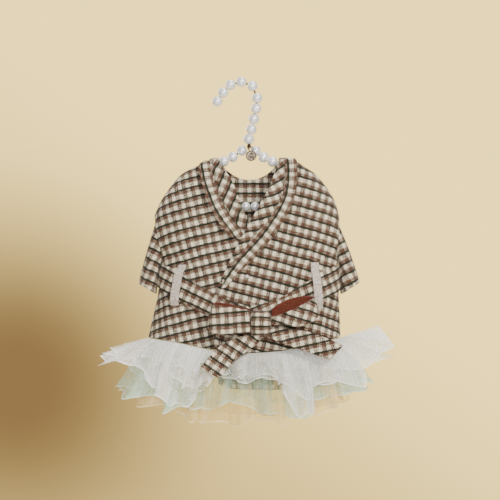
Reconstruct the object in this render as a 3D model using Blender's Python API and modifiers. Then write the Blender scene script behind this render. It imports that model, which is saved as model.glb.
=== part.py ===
"""A small dog's wrap dress in wool tweed, hanging on a pearl-bead hanger.

The dress is a wrap-over bodice with a shawl collar, short sleeves, a belt tied in a bow and a
skirt of three gathered tulle tiers. Each piece that a maker would cut is an object of its own.

Frame: the origin is where the hanger hangs, at the top of the inside of its hook. +X is to the
right when the bow faces the viewer, +Y goes to the back of the dress, +Z is up. Lengths in the
tables are millimetres.
"""

import math

import bmesh
import bpy
import numpy as np
from mathutils import Vector

MM = 0.001

# The garment's tables are measured from a line a little above the hook: it hangs this far higher.
GARMENT_RISE = 4.75

# Cloth
TWEED_WALL = 1.6
BELT_WALL = 1.8
RIBBON_WALL = 1.0
TULLE_WALL = 1.0
SEAM = 0.2  # half of the gap that parts two pieces at a seam
LAY = 0.45  # gap under a piece that lies on another
EDGE_INSET = 1.5  # how far a collar piece stays inside the shoulder line
BAND_WALL = 1.6
COLLAR_WALL = 1.3
STRIP_TRIM = 0.15  # taken off each edge of a collar piece, so that two pieces stay apart

# Hanger
BEAD = 9.9
BAR_BEAD = 8.5

# The bodice seen from the front: z, and the x of its left and right sides.
OUTLINE = [
    # z, left, right
    (-72.0, -26.0, 44.0),
    (-74.0, -30.0, 52.5),
    (-79.0, -39.5, 58.5),
    (-86.5, -55.5, 70.5),
    (-96.5, -64.5, 79.5),
    (-112.0, -75.5, 89.5),
    (-127.0, -82.0, 94.0),
    (-145.0, -79.5, 93.5),
    (-160.0, -76.0, 92.5),
    (-171.0, -74.5, 92.5),
    (-182.0, -76.0, 93.0),
    (-204.0, -78.5, 93.5),
    (-226.0, -84.0, 94.5),
    (-242.0, -87.5, 95.0),
    (-255.0, -89.0, 95.5),
    (-340.0, -89.0, 95.5),
]

# How far the front and the back stand out, and the width over which each side rounds away.
FULLNESS = [
    # z, front, back, rounding
    (-72.0, 9.5, 9.5, 12.0),
    (-85.0, 12.0, 11.0, 22.0),
    (-100.0, 15.0, 12.5, 30.0),
    (-126.0, 20.0, 15.0, 40.0),
    (-170.0, 25.0, 18.0, 45.0),
    (-205.0, 26.0, 20.0, 48.0),
    (-255.0, 30.0, 26.0, 50.0),
    (-340.0, 30.0, 26.0, 50.0),
]

# The armhole is a slot between front and back, open by twice its half width.
ARMHOLE_TOP = -128.0
ARMHOLE_BOTTOM = -171.0
ARMHOLE_HALF_WIDTH = 9.0
ARMHOLE_FADE = 20.0

# Edges of the fronts and of the collar pieces that lie on them: z, x.
LEFT_NECK_EDGE = [
    (-72.0, -21.8), (-76.0, -20.2), (-81.0, -17.5), (-93.0, -8.0), (-107.0, -2.5),
    (-121.5, 1.5), (-131.0, 9.0), (-145.0, 19.0), (-160.0, 23.0), (-340.0, 24.0),
]
LEFT_BAND_SEAM = [
    (-72.0, -29.0), (-83.0, -28.0), (-97.5, -24.0), (-117.0, -16.0), (-132.5, -5.5),
    (-145.0, 3.5), (-160.0, 12.0),
]
LEFT_BAND_EDGE = [
    (-72.0, -40.5), (-83.0, -39.7), (-100.5, -35.5), (-117.0, -29.5), (-131.5, -23.0),
    (-143.0, -14.0), (-155.0, -4.5), (-170.0, 4.0),
]
RIGHT_NECK_EDGE = [
    (-72.0, 37.4), (-81.0, 34.5), (-96.5, 28.5), (-106.0, 24.0), (-116.0, 19.0),
    (-131.5, 10.0), (-145.0, 3.0), (-157.5, -4.0), (-183.0, -16.0), (-194.5, -22.0),
    (-201.0, -24.5), (-340.0, -24.5),
]
RIGHT_BAND_SEAM = [
    (-72.0, 41.5), (-84.0, 42.0), (-98.0, 42.5), (-112.0, 38.5), (-124.5, 32.0),
    (-136.0, 23.5), (-146.5, 14.0), (-157.0, 4.5), (-172.0, -6.0), (-188.0, -15.5),
    (-198.5, -20.5), (-206.0, -22.0),
]
RIGHT_BAND_EDGE = [
    (-72.0, 52.5), (-84.0, 53.5), (-98.0, 53.5), (-112.0, 50.5), (-126.5, 44.0),
    (-139.5, 36.5), (-155.0, 26.0), (-169.0, 12.0), (-182.5, -2.5), (-195.5, -13.5),
    (-206.0, -19.5),
]

# The right front laps over the left one, and lies down on the body past the overlap.
LAP_RISE = 3.9
LAP_FLAT_X = 27.0
LAP_END_X = 50.0
LAP_TOP_Z = -98.0
LAP_FULL_Z = -128.0

# Lower edges: x, z.
FRONT_HEM = [
    (-89.0, -242.0), (-59.5, -246.0), (-26.0, -253.5), (10.0, -256.0), (45.0, -253.0),
    (75.0, -246.5), (96.0, -241.5),
]
BACK_HEM = [(-89.0, -242.0), (-50.0, -248.0), (3.0, -252.0), (60.0, -248.0), (96.0, -241.5)]
BACK_NECK = [
    (-22.0, -73.5), (-17.5, -80.5), (-11.0, -87.2), (-2.0, -92.8), (7.0, -94.8),
    (18.0, -94.2), (27.0, -88.6), (33.5, -80.5), (37.6, -73.5),
]
HEM_SIDE_Z = -242.0
NECK_TOP_Z = -72.0

# Rows of the bodice: level ones, and below the lowest of them rows that fan out to the hem.
LOWER_LEVELS = (-210.0, -196.0, -182.0, -171.0, -161.0, -149.5, -138.0, -128.0)
UPPER_LEVELS = (-120.0, -112.0, -104.0, -96.5, -91.5, -86.5, -82.5, -79.0, -76.0, -74.0, -72.0)
HEM_FAN_Z = -222.0
HEM_FANS = (1.0, 0.5, 0.0)
FRONT_LEFT_COLUMNS = 11
FRONT_RIGHT_COLUMNS = 13

# Columns of the back, at its widest level and at the shoulder line.
SHOULDER_Z = -127.0
SHOULDER_ROWS = 6
BACK_COLUMNS_LOW = (-82.0, -80.6, -75.5, -64.5, -55.5, -39.5, -30.0, -22.0, -11.0, 7.0,
                    27.0, 37.6, 44.0, 52.5, 58.5, 70.5, 79.5, 89.5, 92.8, 94.0)
BACK_COLUMNS_HIGH = (-80.6, -78.5, *BACK_COLUMNS_LOW[2:-2], 91.4, 93.0)

# Rows of the collar pieces: the collar's own lie lower at the top, where the shoulder narrows.
LEFT_BAND_LEVELS = (-76.0, -79.0, -82.5, -86.5, -91.5, -96.5, -104.0, -112.0, -120.0, -128.0,
                    -138.0, -149.5)
LEFT_COLLAR_LEVELS = (-74.0, *LEFT_BAND_LEVELS[:-1])
RIGHT_BAND_LEVELS = (-74.0, -76.0, -79.0, -82.5, -86.5, -91.5, -96.5, -104.0, -112.0, -120.0,
                     -128.0, -138.0, -149.5, -161.0, -171.0, -182.0, -196.0)
RIGHT_COLLAR_LEVELS = RIGHT_BAND_LEVELS[:-1]

# The longer back panel that hangs inside the tulle.
TAIL_PANEL_LEFT = -21.5
TAIL_PANEL_RIGHT = 88.0
TAIL_PANEL_TOP = 6.0
TAIL_PANEL_INSIDE = 4.0  # how far it hangs inside the body's back face
TAIL_PANEL_DROP = [(-21.5, -288.0), (-14.0, -293.0), (40.0, -293.5), (80.0, -290.5), (88.0, -286.0)]


# Sleeves: the upper and under edge of each section, its half depth and how far back it hangs.
LEFT_SLEEVE = [
    # x upper, z upper, x under, z under, half depth, back
    (-82.6, -129.5, -75.4, -169.0, 8.2, 0.0),
    (-84.4, -137.0, -78.4, -173.0, 10.5, 0.5),
    (-87.0, -147.0, -79.6, -177.5, 12.0, 1.0),
    (-90.0, -158.5, -80.2, -182.5, 13.5, 2.0),
    (-93.0, -171.0, -80.8, -188.0, 15.0, 3.0),
    (-95.6, -182.5, -81.6, -194.5, 16.0, 4.0),
    (-97.2, -191.5, -82.2, -201.0, 16.5, 4.5),
]
RIGHT_SLEEVE = [
    # x upper, z upper, x under, z under, half depth, back
    (94.6, -129.5, 93.2, -169.0, 8.2, 0.0),
    (98.0, -137.5, 96.6, -173.5, 10.5, 0.5),
    (102.4, -150.0, 97.2, -178.5, 12.0, 1.0),
    (106.8, -163.5, 97.4, -184.0, 13.5, 2.0),
    (110.2, -176.0, 97.6, -190.0, 15.0, 3.0),
    (112.6, -184.5, 97.8, -196.5, 16.0, 4.0),
    (113.8, -190.5, 98.0, -201.5, 16.5, 4.5),
]

SLEEVE_POINTS = 16

# The belt on the body: its upper and lower edge, and how far its underside stands off the body.
BELT_LEFT = [
    # x top, z top, x bottom, z bottom, lift
    (-74.7, -173.5, -77.2, -194.5, 0.45),
    (-69.0, -174.5, -71.5, -198.5, 0.45),
    (-60.0, -179.3, -64.7, -203.7, 0.45),
    (-52.2, -185.6, -55.3, -208.4, 0.45),
    (-38.5, -193.3, -43.2, -215.6, 1.2),
    (-25.5, -200.4, -31.6, -221.6, 6.4),
    (-8.0, -209.0, -14.0, -230.0, 6.4),
    (8.0, -213.0, 6.0, -236.0, 6.4),
]
BELT_RIGHT = [
    # x top, z top, x bottom, z bottom, lift
    (92.6, -174.5, 93.3, -197.5, 0.45),
    (84.0, -177.0, 84.5, -202.5, 0.45),
    (75.5, -180.5, 75.5, -207.0, 0.45),
    (66.3, -187.5, 67.5, -211.0, 0.45),
    (51.8, -196.0, 52.8, -220.0, 1.2),
    (37.5, -204.5, 39.0, -228.0, 4.6),
    (22.0, -210.5, 24.0, -234.0, 6.4),
    (9.0, -213.0, 9.5, -236.0, 6.4),
]
BELT_BACK = [
    # x top, z top, x bottom, z bottom, lift
    (-74.7, -173.5, -77.2, -194.5, 0.7),
    (-66.0, -172.5, -67.0, -196.0, 0.7),
    (-40.0, -175.0, -40.0, -199.0, 0.7),
    (8.0, -177.0, 8.0, -201.0, 0.7),
    (58.0, -175.0, 58.0, -199.5, 0.7),
    (84.0, -173.0, 84.5, -198.0, 0.7),
    (92.6, -174.5, 93.3, -197.5, 0.7),
]

# The velvet loops that hold the belt.
RIBBON_LEFT = [
    # x, z, lift
    (-54.5, -173.5, 0.45),
    (-55.4, -177.5, 0.5),
    (-56.2, -180.3, 3.1),
    (-58.0, -189.0, 3.7),
    (-60.0, -200.0, 3.7),
    (-60.9, -207.5, 3.1),
    (-61.4, -209.8, 0.5),
    (-61.8, -212.0, 0.45),
]
RIBBON_RIGHT = [
    # x, z, lift
    (69.7, -171.2, 0.45),
    (70.0, -180.0, 0.5),
    (70.3, -183.0, 3.1),
    (71.0, -191.0, 3.7),
    (72.0, -203.0, 3.7),
    (72.8, -209.5, 3.1),
    (73.2, -211.8, 0.5),
    (73.6, -214.5, 0.45),
]
RIBBON_WIDTH = 7.2
SIDE_ROWS = (0.0, 0.05, 0.2, 0.45, 0.7, 1.0)  # places between a belt's first two rows

# The bow. A loop runs out along the body, turns at its end and comes back in front.
BOW_LOOP_LEFT = [
    # x top, z top, x bottom, z bottom, y
    (9.2, -214.5, 9.2, -235.5, -39.6),
    (-6.2, -211.4, -7.0, -236.0, -39.4),
    (-18.5, -208.5, -21.5, -235.5, -39.6),
    (-24.5, -209.0, -29.0, -233.0, -42.5),
    (-25.6, -211.5, -30.2, -231.5, -46.0),
    (-21.0, -212.5, -26.0, -237.0, -49.6),
    (-6.2, -214.5, -10.0, -239.2, -51.0),
    (9.2, -217.5, 9.2, -235.6, -47.5),
]
BOW_LOOP_RIGHT = [
    # x top, z top, x bottom, z bottom, y
    (29.3, -214.5, 29.3, -231.5, -39.6),
    (41.3, -206.8, 41.3, -228.0, -39.0),
    (55.5, -203.0, 56.5, -224.0, -37.5),
    (66.0, -202.8, 69.0, -218.5, -38.5),
    (69.5, -203.6, 73.0, -217.5, -43.0),
    (66.5, -205.6, 70.0, -225.5, -48.5),
    (51.8, -213.6, 53.7, -231.3, -52.5),
    (38.5, -219.2, 41.3, -229.8, -49.5),
    (29.3, -222.0, 29.3, -229.5, -45.5),
]
KNOT_SECTIONS = [
    # z, x left, x right, back y, front y
    (-211.6, 11.5, 26.0, -36.6, -44.0),
    (-213.5, 9.8, 28.2, -36.0, -49.0),
    (-219.0, 9.6, 28.8, -36.2, -53.0),
    (-226.0, 9.6, 28.9, -36.8, -54.0),
    (-232.5, 9.8, 28.6, -37.3, -52.5),
    (-236.5, 10.5, 27.5, -38.0, -48.5),
    (-238.2, 12.5, 25.5, -39.4, -45.0),
]
KNOT_POINTS = 14
BOW_TAIL_LEFT = [
    # x upper, z upper, x lower, z lower, y
    (6.8, -238.9, 23.0, -239.3, -43.3),
    (-3.0, -241.5, 14.5, -248.5, -44.5),
    (-11.5, -244.5, 7.0, -253.5, -46.5),
    (-23.0, -252.5, -4.8, -262.0, -51.0),
    (-31.0, -261.3, -12.8, -270.8, -55.0),
    (-37.0, -269.0, -20.6, -278.5, -58.5),
]
BOW_TAIL_RIGHT = [
    # x upper, z upper, x lower, z lower, y
    (29.1, -233.4, 25.4, -240.2, -43.4),
    (40.0, -232.5, 38.0, -246.5, -44.0),
    (50.0, -233.0, 47.5, -249.5, -44.5),
    (63.0, -235.6, 60.0, -254.0, -46.5),
    (78.0, -240.5, 71.7, -258.0, -50.0),
    (88.0, -244.8, 78.0, -260.0, -52.0),
    (96.0, -248.6, 83.0, -261.5, -53.5),
]

# Tulle tiers. Rows run along the hem from the left side seam (0) over the front to the right
# one (1): where the fold is, and how far its edge reaches out and drops.
WHITE_FRONT = [
    # place, reach, drop
    (0.000, 44.0, 13.0),
    (0.035, 36.0, 24.0),
    (0.075, 46.0, 26.0),
    (0.120, 24.0, 36.0),
    (0.165, 32.0, 44.0),
    (0.215, 18.0, 40.0),
    (0.260, 28.0, 46.0),
    (0.305, 14.0, 40.0),
    (0.345, 22.0, 38.0),
    (0.385, 12.0, 34.0),
    (0.430, 17.0, 32.0),
    (0.475, 16.0, 34.0),
    (0.520, 36.0, 26.0),
    (0.565, 22.0, 38.0),
    (0.610, 34.0, 30.0),
    (0.650, 24.0, 50.0),
    (0.690, 33.0, 57.0),
    (0.730, 18.0, 44.0),
    (0.780, 30.0, 34.0),
    (0.830, 22.0, 40.0),
    (0.880, 40.0, 34.0),
    (0.920, 34.0, 20.0),
    (0.960, 52.0, 14.0),
    (0.985, 46.0, 2.0),
    (1.000, 50.0, -2.0),
]
MINT_FRONT = [
    # place, reach, drop
    (0.000, 32.0, 48.0),
    (0.050, 24.0, 50.0),
    (0.100, 30.0, 56.0),
    (0.150, 14.0, 54.0),
    (0.200, 23.0, 62.0),
    (0.255, 10.0, 58.0),
    (0.310, 18.0, 60.0),
    (0.365, 8.0, 56.0),
    (0.420, 17.0, 52.0),
    (0.480, 20.0, 50.0),
    (0.530, 10.0, 54.0),
    (0.590, 18.0, 58.0),
    (0.650, 9.0, 60.0),
    (0.710, 18.0, 62.0),
    (0.770, 9.0, 56.0),
    (0.825, 20.0, 54.0),
    (0.880, 12.0, 52.0),
    (0.930, 28.0, 52.0),
    (0.970, 22.0, 44.0),
    (1.000, 32.0, 44.0),
]
CHAMPAGNE_FRONT = [
    # place, reach, drop
    (0.000, 20.0, 58.0),
    (0.055, 13.0, 60.0),
    (0.110, 18.0, 65.0),
    (0.170, 4.0, 64.0),
    (0.235, 9.0, 68.0),
    (0.295, 1.0, 66.0),
    (0.360, 8.0, 68.0),
    (0.425, 0.0, 67.0),
    (0.490, 7.0, 69.0),
    (0.555, 0.0, 66.0),
    (0.620, 8.0, 66.0),
    (0.690, 0.0, 65.0),
    (0.755, 8.0, 64.0),
    (0.820, 2.0, 62.0),
    (0.885, 14.0, 60.0),
    (0.945, 12.0, 56.0),
    (1.000, 22.0, 52.0),
]
TIERS = [
    # name, lift at the hem, folds, flare, colour
    ("tulle_white", 1.2, WHITE_FRONT, 1.6, (0.86, 0.86, 0.84)),
    ("tulle_mint", -0.5, MINT_FRONT, 0.9, (0.68, 0.74, 0.68)),
    ("tulle_champagne", -2.2, CHAMPAGNE_FRONT, 0.8, (0.74, 0.64, 0.46)),
]
TIER_ROWS = (0.0, 0.12, 0.36, 0.66, 1.0)
TIER_GAP = 0.8  # under the hem that carries the tiers
HEM_CENTRE = 3.0
LAP_EDGE = (-42.0, -24.0)  # x over which the tiers step out under the lapped front
FAN_OUT = 0.4  # how much the folds fan to the sides

# The hanger: centres of its beads.
HOOK_BEADS = [
    # x, z
    (-21.9, -13.6), (-16.4, -5.2), (-9.4, 2.1), (0.8, 4.9), (11.3, 0.9), (15.8, -10.3),
    (14.8, -20.5), (12.7, -30.4), (10.4, -40.0), (7.9, -49.4),
]
LEFT_ARM_BEADS = [
    # x, z
    (1.3, -60.5), (-7.3, -66.4), (-16.0, -70.9), (-24.6, -75.6), (-33.6, -79.8),
    (-42.4, -84.2), (-50.8, -89.4), (-58.4, -96.2), (-64.8, -104.9),
]
RIGHT_ARM_BEADS = [
    # x, z
    (14.3, -60.9), (21.9, -66.8), (30.4, -70.9), (39.2, -73.9), (47.7, -78.2),
    (56.1, -83.2), (64.2, -88.7), (71.3, -95.9), (76.2, -104.9),
]
BAR_Z = -113.4
BAR_CENTRE = 9.4
BAR_PITCH = 8.6
BAR_BEADS_LEFT = 9
BAR_BEADS_RIGHT = 8
BEAD_PROFILE = [(-0.9, 0.44), (-0.3, 0.95), (0.3, 0.95), (0.9, 0.44)]  # along, radius: shares
WIRE_TWIST_TOP = (7.9, 0.0, -54.8)
WIRE_TWIST_PROFILE = [
    # radius, height
    (0.0, 0.0), (1.2, -0.1), (2.0, -0.5), (1.5, -0.9), (2.1, -1.4), (1.6, -1.9), (2.0, -2.4),
    (1.2, -2.9), (0.8, -4.6), (0.0, -4.7),
]

# The charm hangs from a wire eye; the pivot is where its ring rests in the eye.
CHARM_PIVOT = (10.0, -6.6, -57.1)
CHARM_DROP = 8.5
CHARM_PROFILE = [
    # radius, height
    (0.0, 0.6), (2.9, 0.6), (3.1, 0.3), (4.0, 0.3), (4.2, 0.7), (4.7, 0.7), (5.0, 0.4),
    (5.0, -0.4), (4.7, -0.7), (0.0, -0.7),
]
LINK_WIRE = 0.4
RING_RADIUS = 2.0
EYE_RADIUS = 1.15
EYE_TURN = (30.0, 320.0)  # degrees: the eye's loop stays open between its two ends
EYE_POINTS = 9
EYE_LEAD = [(8.3, -2.8, -56.6), (9.4, -4.3, -56.4)]


def between(table, at, column=1):
    """The table's column at this value of its first column, on straight lines between rows."""
    rows = sorted(table)
    return float(np.interp(at, [row[0] for row in rows], [row[column] for row in rows]))


def smooth_step(value, start, end):
    share = min(max((value - start) / (end - start), 0.0), 1.0)
    return share * share * (3.0 - 2.0 * share)


def quarter_round(share):
    """Height of a quarter ellipse at this share of its width."""
    share = min(max(share, 0.0), 1.0)
    return math.sqrt(1.0 - (1.0 - share) ** 2)


def inset(x, z):
    """Distance in from the nearer side of the bodice, as seen from the front."""
    nearest = 1e9
    for column in (1, 2):
        for upper, lower in zip(OUTLINE, OUTLINE[1:]):
            ax, az = upper[column], upper[0]
            dx, dz = lower[column] - ax, lower[0] - az
            along = ((x - ax) * dx + (z - az) * dz) / (dx * dx + dz * dz)
            along = min(max(along, 0.0), 1.0)
            nearest = min(nearest, math.hypot(x - ax - along * dx, z - az - along * dz))
    outside = x < between(OUTLINE, z, 1) or x > between(OUTLINE, z, 2)
    return 0.0 if outside else nearest


def armhole_opening(z):
    middle = (ARMHOLE_TOP + ARMHOLE_BOTTOM) / 2
    share = (z - middle) / ((ARMHOLE_TOP - ARMHOLE_BOTTOM) / 2)
    return ARMHOLE_HALF_WIDTH * math.sqrt(max(0.0, 1.0 - share * share))


def body_y(x, z, back=False):
    """Depth of the bodice's outer face: the front is at negative y, the back at positive y."""
    into = inset(x, z)
    fullness = between(FULLNESS, z, 2 if back else 1)
    depth = SEAM + fullness * quarter_round(into / between(FULLNESS, z, 3))
    depth += armhole_opening(z) * (1.0 - quarter_round(into / ARMHOLE_FADE))
    return depth if back else -depth


def body_point(x, z, lift=0.0, back=False):
    """A point on the bodice, moved out from its face by lift."""
    step = 0.5 if x < HEM_CENTRE else -0.5
    centre = np.array([x, body_y(x, z, back), z])
    if abs(lift) < 1e-9:
        return centre
    slope_x = (body_y(x + step, z, back) - centre[1]) / step
    slope_z = (body_y(x, z - abs(step), back) - centre[1]) / -abs(step)
    normal = np.array([-slope_x, 1.0, -slope_z]) if back else np.array([slope_x, -1.0, slope_z])
    normal /= np.linalg.norm(normal)
    return centre + lift * normal


def lap_rise(x, z):
    """How far the right front's outer face stands off the body."""
    side = 1.0 - smooth_step(x, LAP_FLAT_X, LAP_END_X)
    return LAP_RISE * side * (1.0 - smooth_step(z, LAP_FULL_Z, LAP_TOP_Z))


def material(name, colour, roughness, metallic=0.0, alpha=1.0):
    made = bpy.data.materials.new(name)
    made.use_nodes = True
    shader = made.node_tree.nodes["Principled BSDF"]
    shader.inputs["Base Color"].default_value = (*colour, 1.0)
    shader.inputs["Roughness"].default_value = roughness
    shader.inputs["Metallic"].default_value = metallic
    shader.inputs["Alpha"].default_value = alpha
    return made


def put(obj, finish, smooth=True):
    """Moves the object to the dress's collection and gives it its material."""
    for owner in list(obj.users_collection):
        owner.objects.unlink(obj)
    DRESS.objects.link(obj)
    obj.data.materials.clear()
    obj.data.materials.append(finish)
    if smooth and obj.type == "MESH":
        obj.data.shade_smooth()
        obj.data.set_sharp_from_angle(angle=math.radians(40))
    return obj


def skin(name, outer, inner, finish, closed=False):
    """A solid wall between two grids of points. closed joins the last column to the first."""
    rise = np.array([0.0, 0.0, GARMENT_RISE])
    outer, inner = (np.asarray(outer) + rise) * MM, (np.asarray(inner) + rise) * MM
    rows, columns = outer.shape[:2]
    mesh = bmesh.new()
    faces_out = [[mesh.verts.new(p) for p in row] for row in outer]
    faces_in = [[mesh.verts.new(p) for p in row] for row in inner]
    last = columns if closed else columns - 1
    for i in range(rows - 1):
        for j in range(last):
            k = (j + 1) % columns
            mesh.faces.new((faces_out[i][j], faces_out[i][k], faces_out[i + 1][k], faces_out[i + 1][j]))
            mesh.faces.new((faces_in[i][j], faces_in[i + 1][j], faces_in[i + 1][k], faces_in[i][k]))
    for j in range(last):
        k = (j + 1) % columns
        for i, turned in ((0, False), (rows - 1, True)):
            rim = (faces_out[i][k], faces_out[i][j], faces_in[i][j], faces_in[i][k])
            mesh.faces.new(tuple(reversed(rim)) if turned else rim)
    if not closed:
        for i in range(rows - 1):
            for j, turned in ((0, True), (columns - 1, False)):
                rim = (faces_out[i + 1][j], faces_out[i][j], faces_in[i][j], faces_in[i + 1][j])
                mesh.faces.new(tuple(reversed(rim)) if turned else rim)
    bmesh.ops.remove_doubles(mesh, verts=mesh.verts, dist=1e-7)
    bmesh.ops.recalc_face_normals(mesh, faces=mesh.faces)
    data = bpy.data.meshes.new(name)
    mesh.to_mesh(data)
    mesh.free()
    return put(bpy.data.objects.new(name, data), finish)


def grid_normals(grid, closed):
    """Unit normals of a grid of points, square to the seam where the cloth meets a seam line."""
    if closed:
        across = np.roll(grid, -1, axis=1) - np.roll(grid, 1, axis=1)
    else:
        across = np.gradient(grid, axis=1)
    along = np.gradient(grid, axis=0)
    normals = np.cross(along, across)
    normals /= np.maximum(np.linalg.norm(normals, axis=2, keepdims=True), 1e-12)
    at_seam = np.abs(grid[:, :, 1]) < SEAM + 0.05
    normals[:, :, 1] = np.where(at_seam, 0.0, normals[:, :, 1])
    return normals / np.maximum(np.linalg.norm(normals, axis=2, keepdims=True), 1e-12)


def cloth(name, grid, wall, finish, facing, share=1.0, closed=False):
    """Cloth of one thickness on a grid of points.

    facing is a direction that the outer face looks to at the grid's middle, and share is how
    much of the wall lies behind the grid.
    """
    grid = np.asarray(grid, float)
    normals = grid_normals(grid, closed)
    middle = normals[grid.shape[0] // 2, grid.shape[1] // 2]
    if np.dot(middle, facing) < 0:
        normals = -normals
    outer = grid + normals * wall * (1.0 - share)
    return skin(name, outer, grid - normals * wall * share, finish, closed)


def spaced(start, end, count, dense_at_start=True):
    """Values from start to end, close together at the end where the cloth turns away."""
    shares = np.linspace(0.0, 1.0, count)
    eased = 1.0 - np.cos(shares * math.pi / 2)
    return start + (end - start) * (eased if dense_at_start else np.sin(shares * math.pi / 2))


def front_panel(name, side, edge, columns, rise):
    """One front, from its side seam (column 1 or 2 of OUTLINE) to its free edge."""
    rows = []
    for fan in HEM_FANS:
        hem_z = between(FRONT_HEM, between(OUTLINE, HEM_SIDE_Z, side))
        side_z = HEM_FAN_Z + (hem_z - HEM_FAN_Z) * fan
        xs = spaced(between(OUTLINE, side_z, side), between(edge, HEM_SIDE_Z), columns)
        zs = [HEM_FAN_Z + (between(FRONT_HEM, x) - HEM_FAN_Z) * fan for x in xs]
        zs[0] = side_z
        rows.append([body_point(x, z, rise(x, z)) for x, z in zip(xs, zs)])
    for z in LOWER_LEVELS + UPPER_LEVELS:
        xs = spaced(between(OUTLINE, z, side), between(edge, z), columns)
        rows.append([body_point(x, z, rise(x, z)) for x in xs])
    return cloth(name, rows, TWEED_WALL, TWEED, (0, -1, 0))


def laid_strip(name, left_edge, right_edge, levels, rise, wall, dense_left, columns=5):
    """A collar piece that lies on a front between two edges given as z, x."""
    rows = []
    for z in levels:
        left = max(between(left_edge, z) + STRIP_TRIM, between(OUTLINE, z, 1) + EDGE_INSET)
        right = min(between(right_edge, z) - STRIP_TRIM, between(OUTLINE, z, 2) - EDGE_INSET)
        rows.append([
            body_point(x, z, rise(x, z) + LAY) for x in spaced(left, right, columns, dense_left)
        ])
    return cloth(name, rows, wall, TWEED, (0, -1, 0), share=0.0)


def flat_rise(x, z):
    return 0.0


def make_bodice():
    front_panel("front_left", 1, LEFT_NECK_EDGE, FRONT_LEFT_COLUMNS, flat_rise)
    front_panel("front_right", 2, RIGHT_NECK_EDGE, FRONT_RIGHT_COLUMNS, lap_rise)
    make_back()


def back_top(x):
    """Height of the back's upper edge: the shoulder line, and the neck scoop between."""
    left = [(row[1], row[0]) for row in OUTLINE[:7]]
    right = [(row[2], row[0]) for row in OUTLINE[:7]]
    if x < BACK_NECK[0][0]:
        return min(between(left, x), NECK_TOP_Z)
    if x > BACK_NECK[-1][0]:
        return min(between(right, x), NECK_TOP_Z)
    return between(BACK_NECK, x)


def make_back():
    low = np.array(BACK_COLUMNS_LOW)
    shares = (low - low[0]) / (low[-1] - low[0])
    rows = []
    for fan in HEM_FANS:
        side_z = HEM_FAN_Z + (HEM_SIDE_Z - HEM_FAN_Z) * fan
        left, right = between(OUTLINE, side_z, 1), between(OUTLINE, side_z, 2)
        row = []
        for x in left + shares * (right - left):
            z = side_z if x in (left, right) else HEM_FAN_Z + (between(BACK_HEM, x) - HEM_FAN_Z) * fan
            row.append(body_point(x, z, back=True))
        rows.append(row)
    for z in LOWER_LEVELS[:-1]:
        left, right = between(OUTLINE, z, 1), between(OUTLINE, z, 2)
        rows.append([body_point(x, z, back=True) for x in left + shares * (right - left)])
    for rise in np.sin(np.linspace(0.0, math.pi / 2, SHOULDER_ROWS)):
        row = []
        for low_x, high_x in zip(BACK_COLUMNS_LOW, BACK_COLUMNS_HIGH):
            x = low_x + (high_x - low_x) * rise
            z = SHOULDER_Z + (back_top(high_x) - SHOULDER_Z) * rise
            row.append(body_point(x, z, back=True))
        rows.append(row)
    return cloth("back", rows, TWEED_WALL, TWEED, (0, 1, 0))


def refined(table, steps):
    """The table's rows with smooth rows between them, steps to each gap (Catmull-Rom)."""
    rows = np.array(table, float)
    ends = np.vstack([2 * rows[0] - rows[1], rows, 2 * rows[-1] - rows[-2]])
    made = []
    for i in range(len(rows) - 1):
        a, b, c, d = ends[i:i + 4]
        for step in range(steps):
            t = step / steps
            made.append(b + 0.5 * t * (c - a + t * (2 * a - 5 * b + 4 * c - d
                                                   + t * (3 * (b - c) + d - a))))
    made.append(rows[-1])
    return made


def make_sleeve(name, sections):
    rows = []
    for x_up, z_up, x_low, z_low, half_depth, back in sections:
        row = []
        for i in range(SLEEVE_POINTS):
            turn = 2 * math.pi * i / SLEEVE_POINTS
            half = (1 + math.cos(turn)) / 2
            x, z = x_low + (x_up - x_low) * half, z_low + (z_up - z_low) * half
            row.append((x, back + half_depth * math.sin(turn), z))
        rows.append(row)
    middle = np.mean(np.array(rows[len(rows) // 2]), axis=0)
    facing = np.array(rows[len(rows) // 2][SLEEVE_POINTS // 2]) - middle
    return cloth(name, rows, TWEED_WALL, TWEED, facing, closed=True)


def make_collar():
    for name, left_edge, right_edge, levels, rise, wall, dense_left in (
        ("collar_band_left", LEFT_BAND_EDGE, LEFT_BAND_SEAM, LEFT_BAND_LEVELS, flat_rise,
         BAND_WALL, True),
        ("collar_left", LEFT_BAND_SEAM, LEFT_NECK_EDGE, LEFT_COLLAR_LEVELS, flat_rise,
         COLLAR_WALL, True),
        ("collar_right", RIGHT_NECK_EDGE, RIGHT_BAND_SEAM, RIGHT_COLLAR_LEVELS, lap_rise,
         COLLAR_WALL, False),
        ("collar_band_right", RIGHT_BAND_SEAM, RIGHT_BAND_EDGE, RIGHT_BAND_LEVELS, lap_rise,
         BAND_WALL, False),
    ):
        laid_strip(name, left_edge, right_edge, levels, rise, wall, dense_left)


def wrapped_rows(table, both_ends):
    """The table's rows with straight ones between them, close together where the side rounds."""
    rows = np.array(table, float)
    last = len(rows) - 1
    places = list(SIDE_ROWS) + list(np.arange(1.0, last - 0.9, 0.5))
    if both_ends:
        places += [last - place for place in reversed(SIDE_ROWS)]
    else:
        places += [last - 0.5, last]
    places = sorted(set(round(place, 3) for place in places))
    return [
        [np.interp(place, range(last + 1), rows[:, i]) for i in range(rows.shape[1])]
        for place in places
    ]


def make_belt():
    for name, table, back in (
        ("belt_left", BELT_LEFT, False),
        ("belt_right", BELT_RIGHT, False),
        ("belt_back", BELT_BACK, True),
    ):
        rows = []
        for x_top, z_top, x_low, z_low, lift in wrapped_rows(table, back):
            shares = (0.0, 0.33, 0.67, 1.0)
            rows.append([
                body_point(x_top + (x_low - x_top) * s, z_top + (z_low - z_top) * s, lift, back)
                for s in shares
            ])
        cloth(name, rows, BELT_WALL, TWEED, (0, 1 if back else -1, 0), share=0.0)


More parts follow.
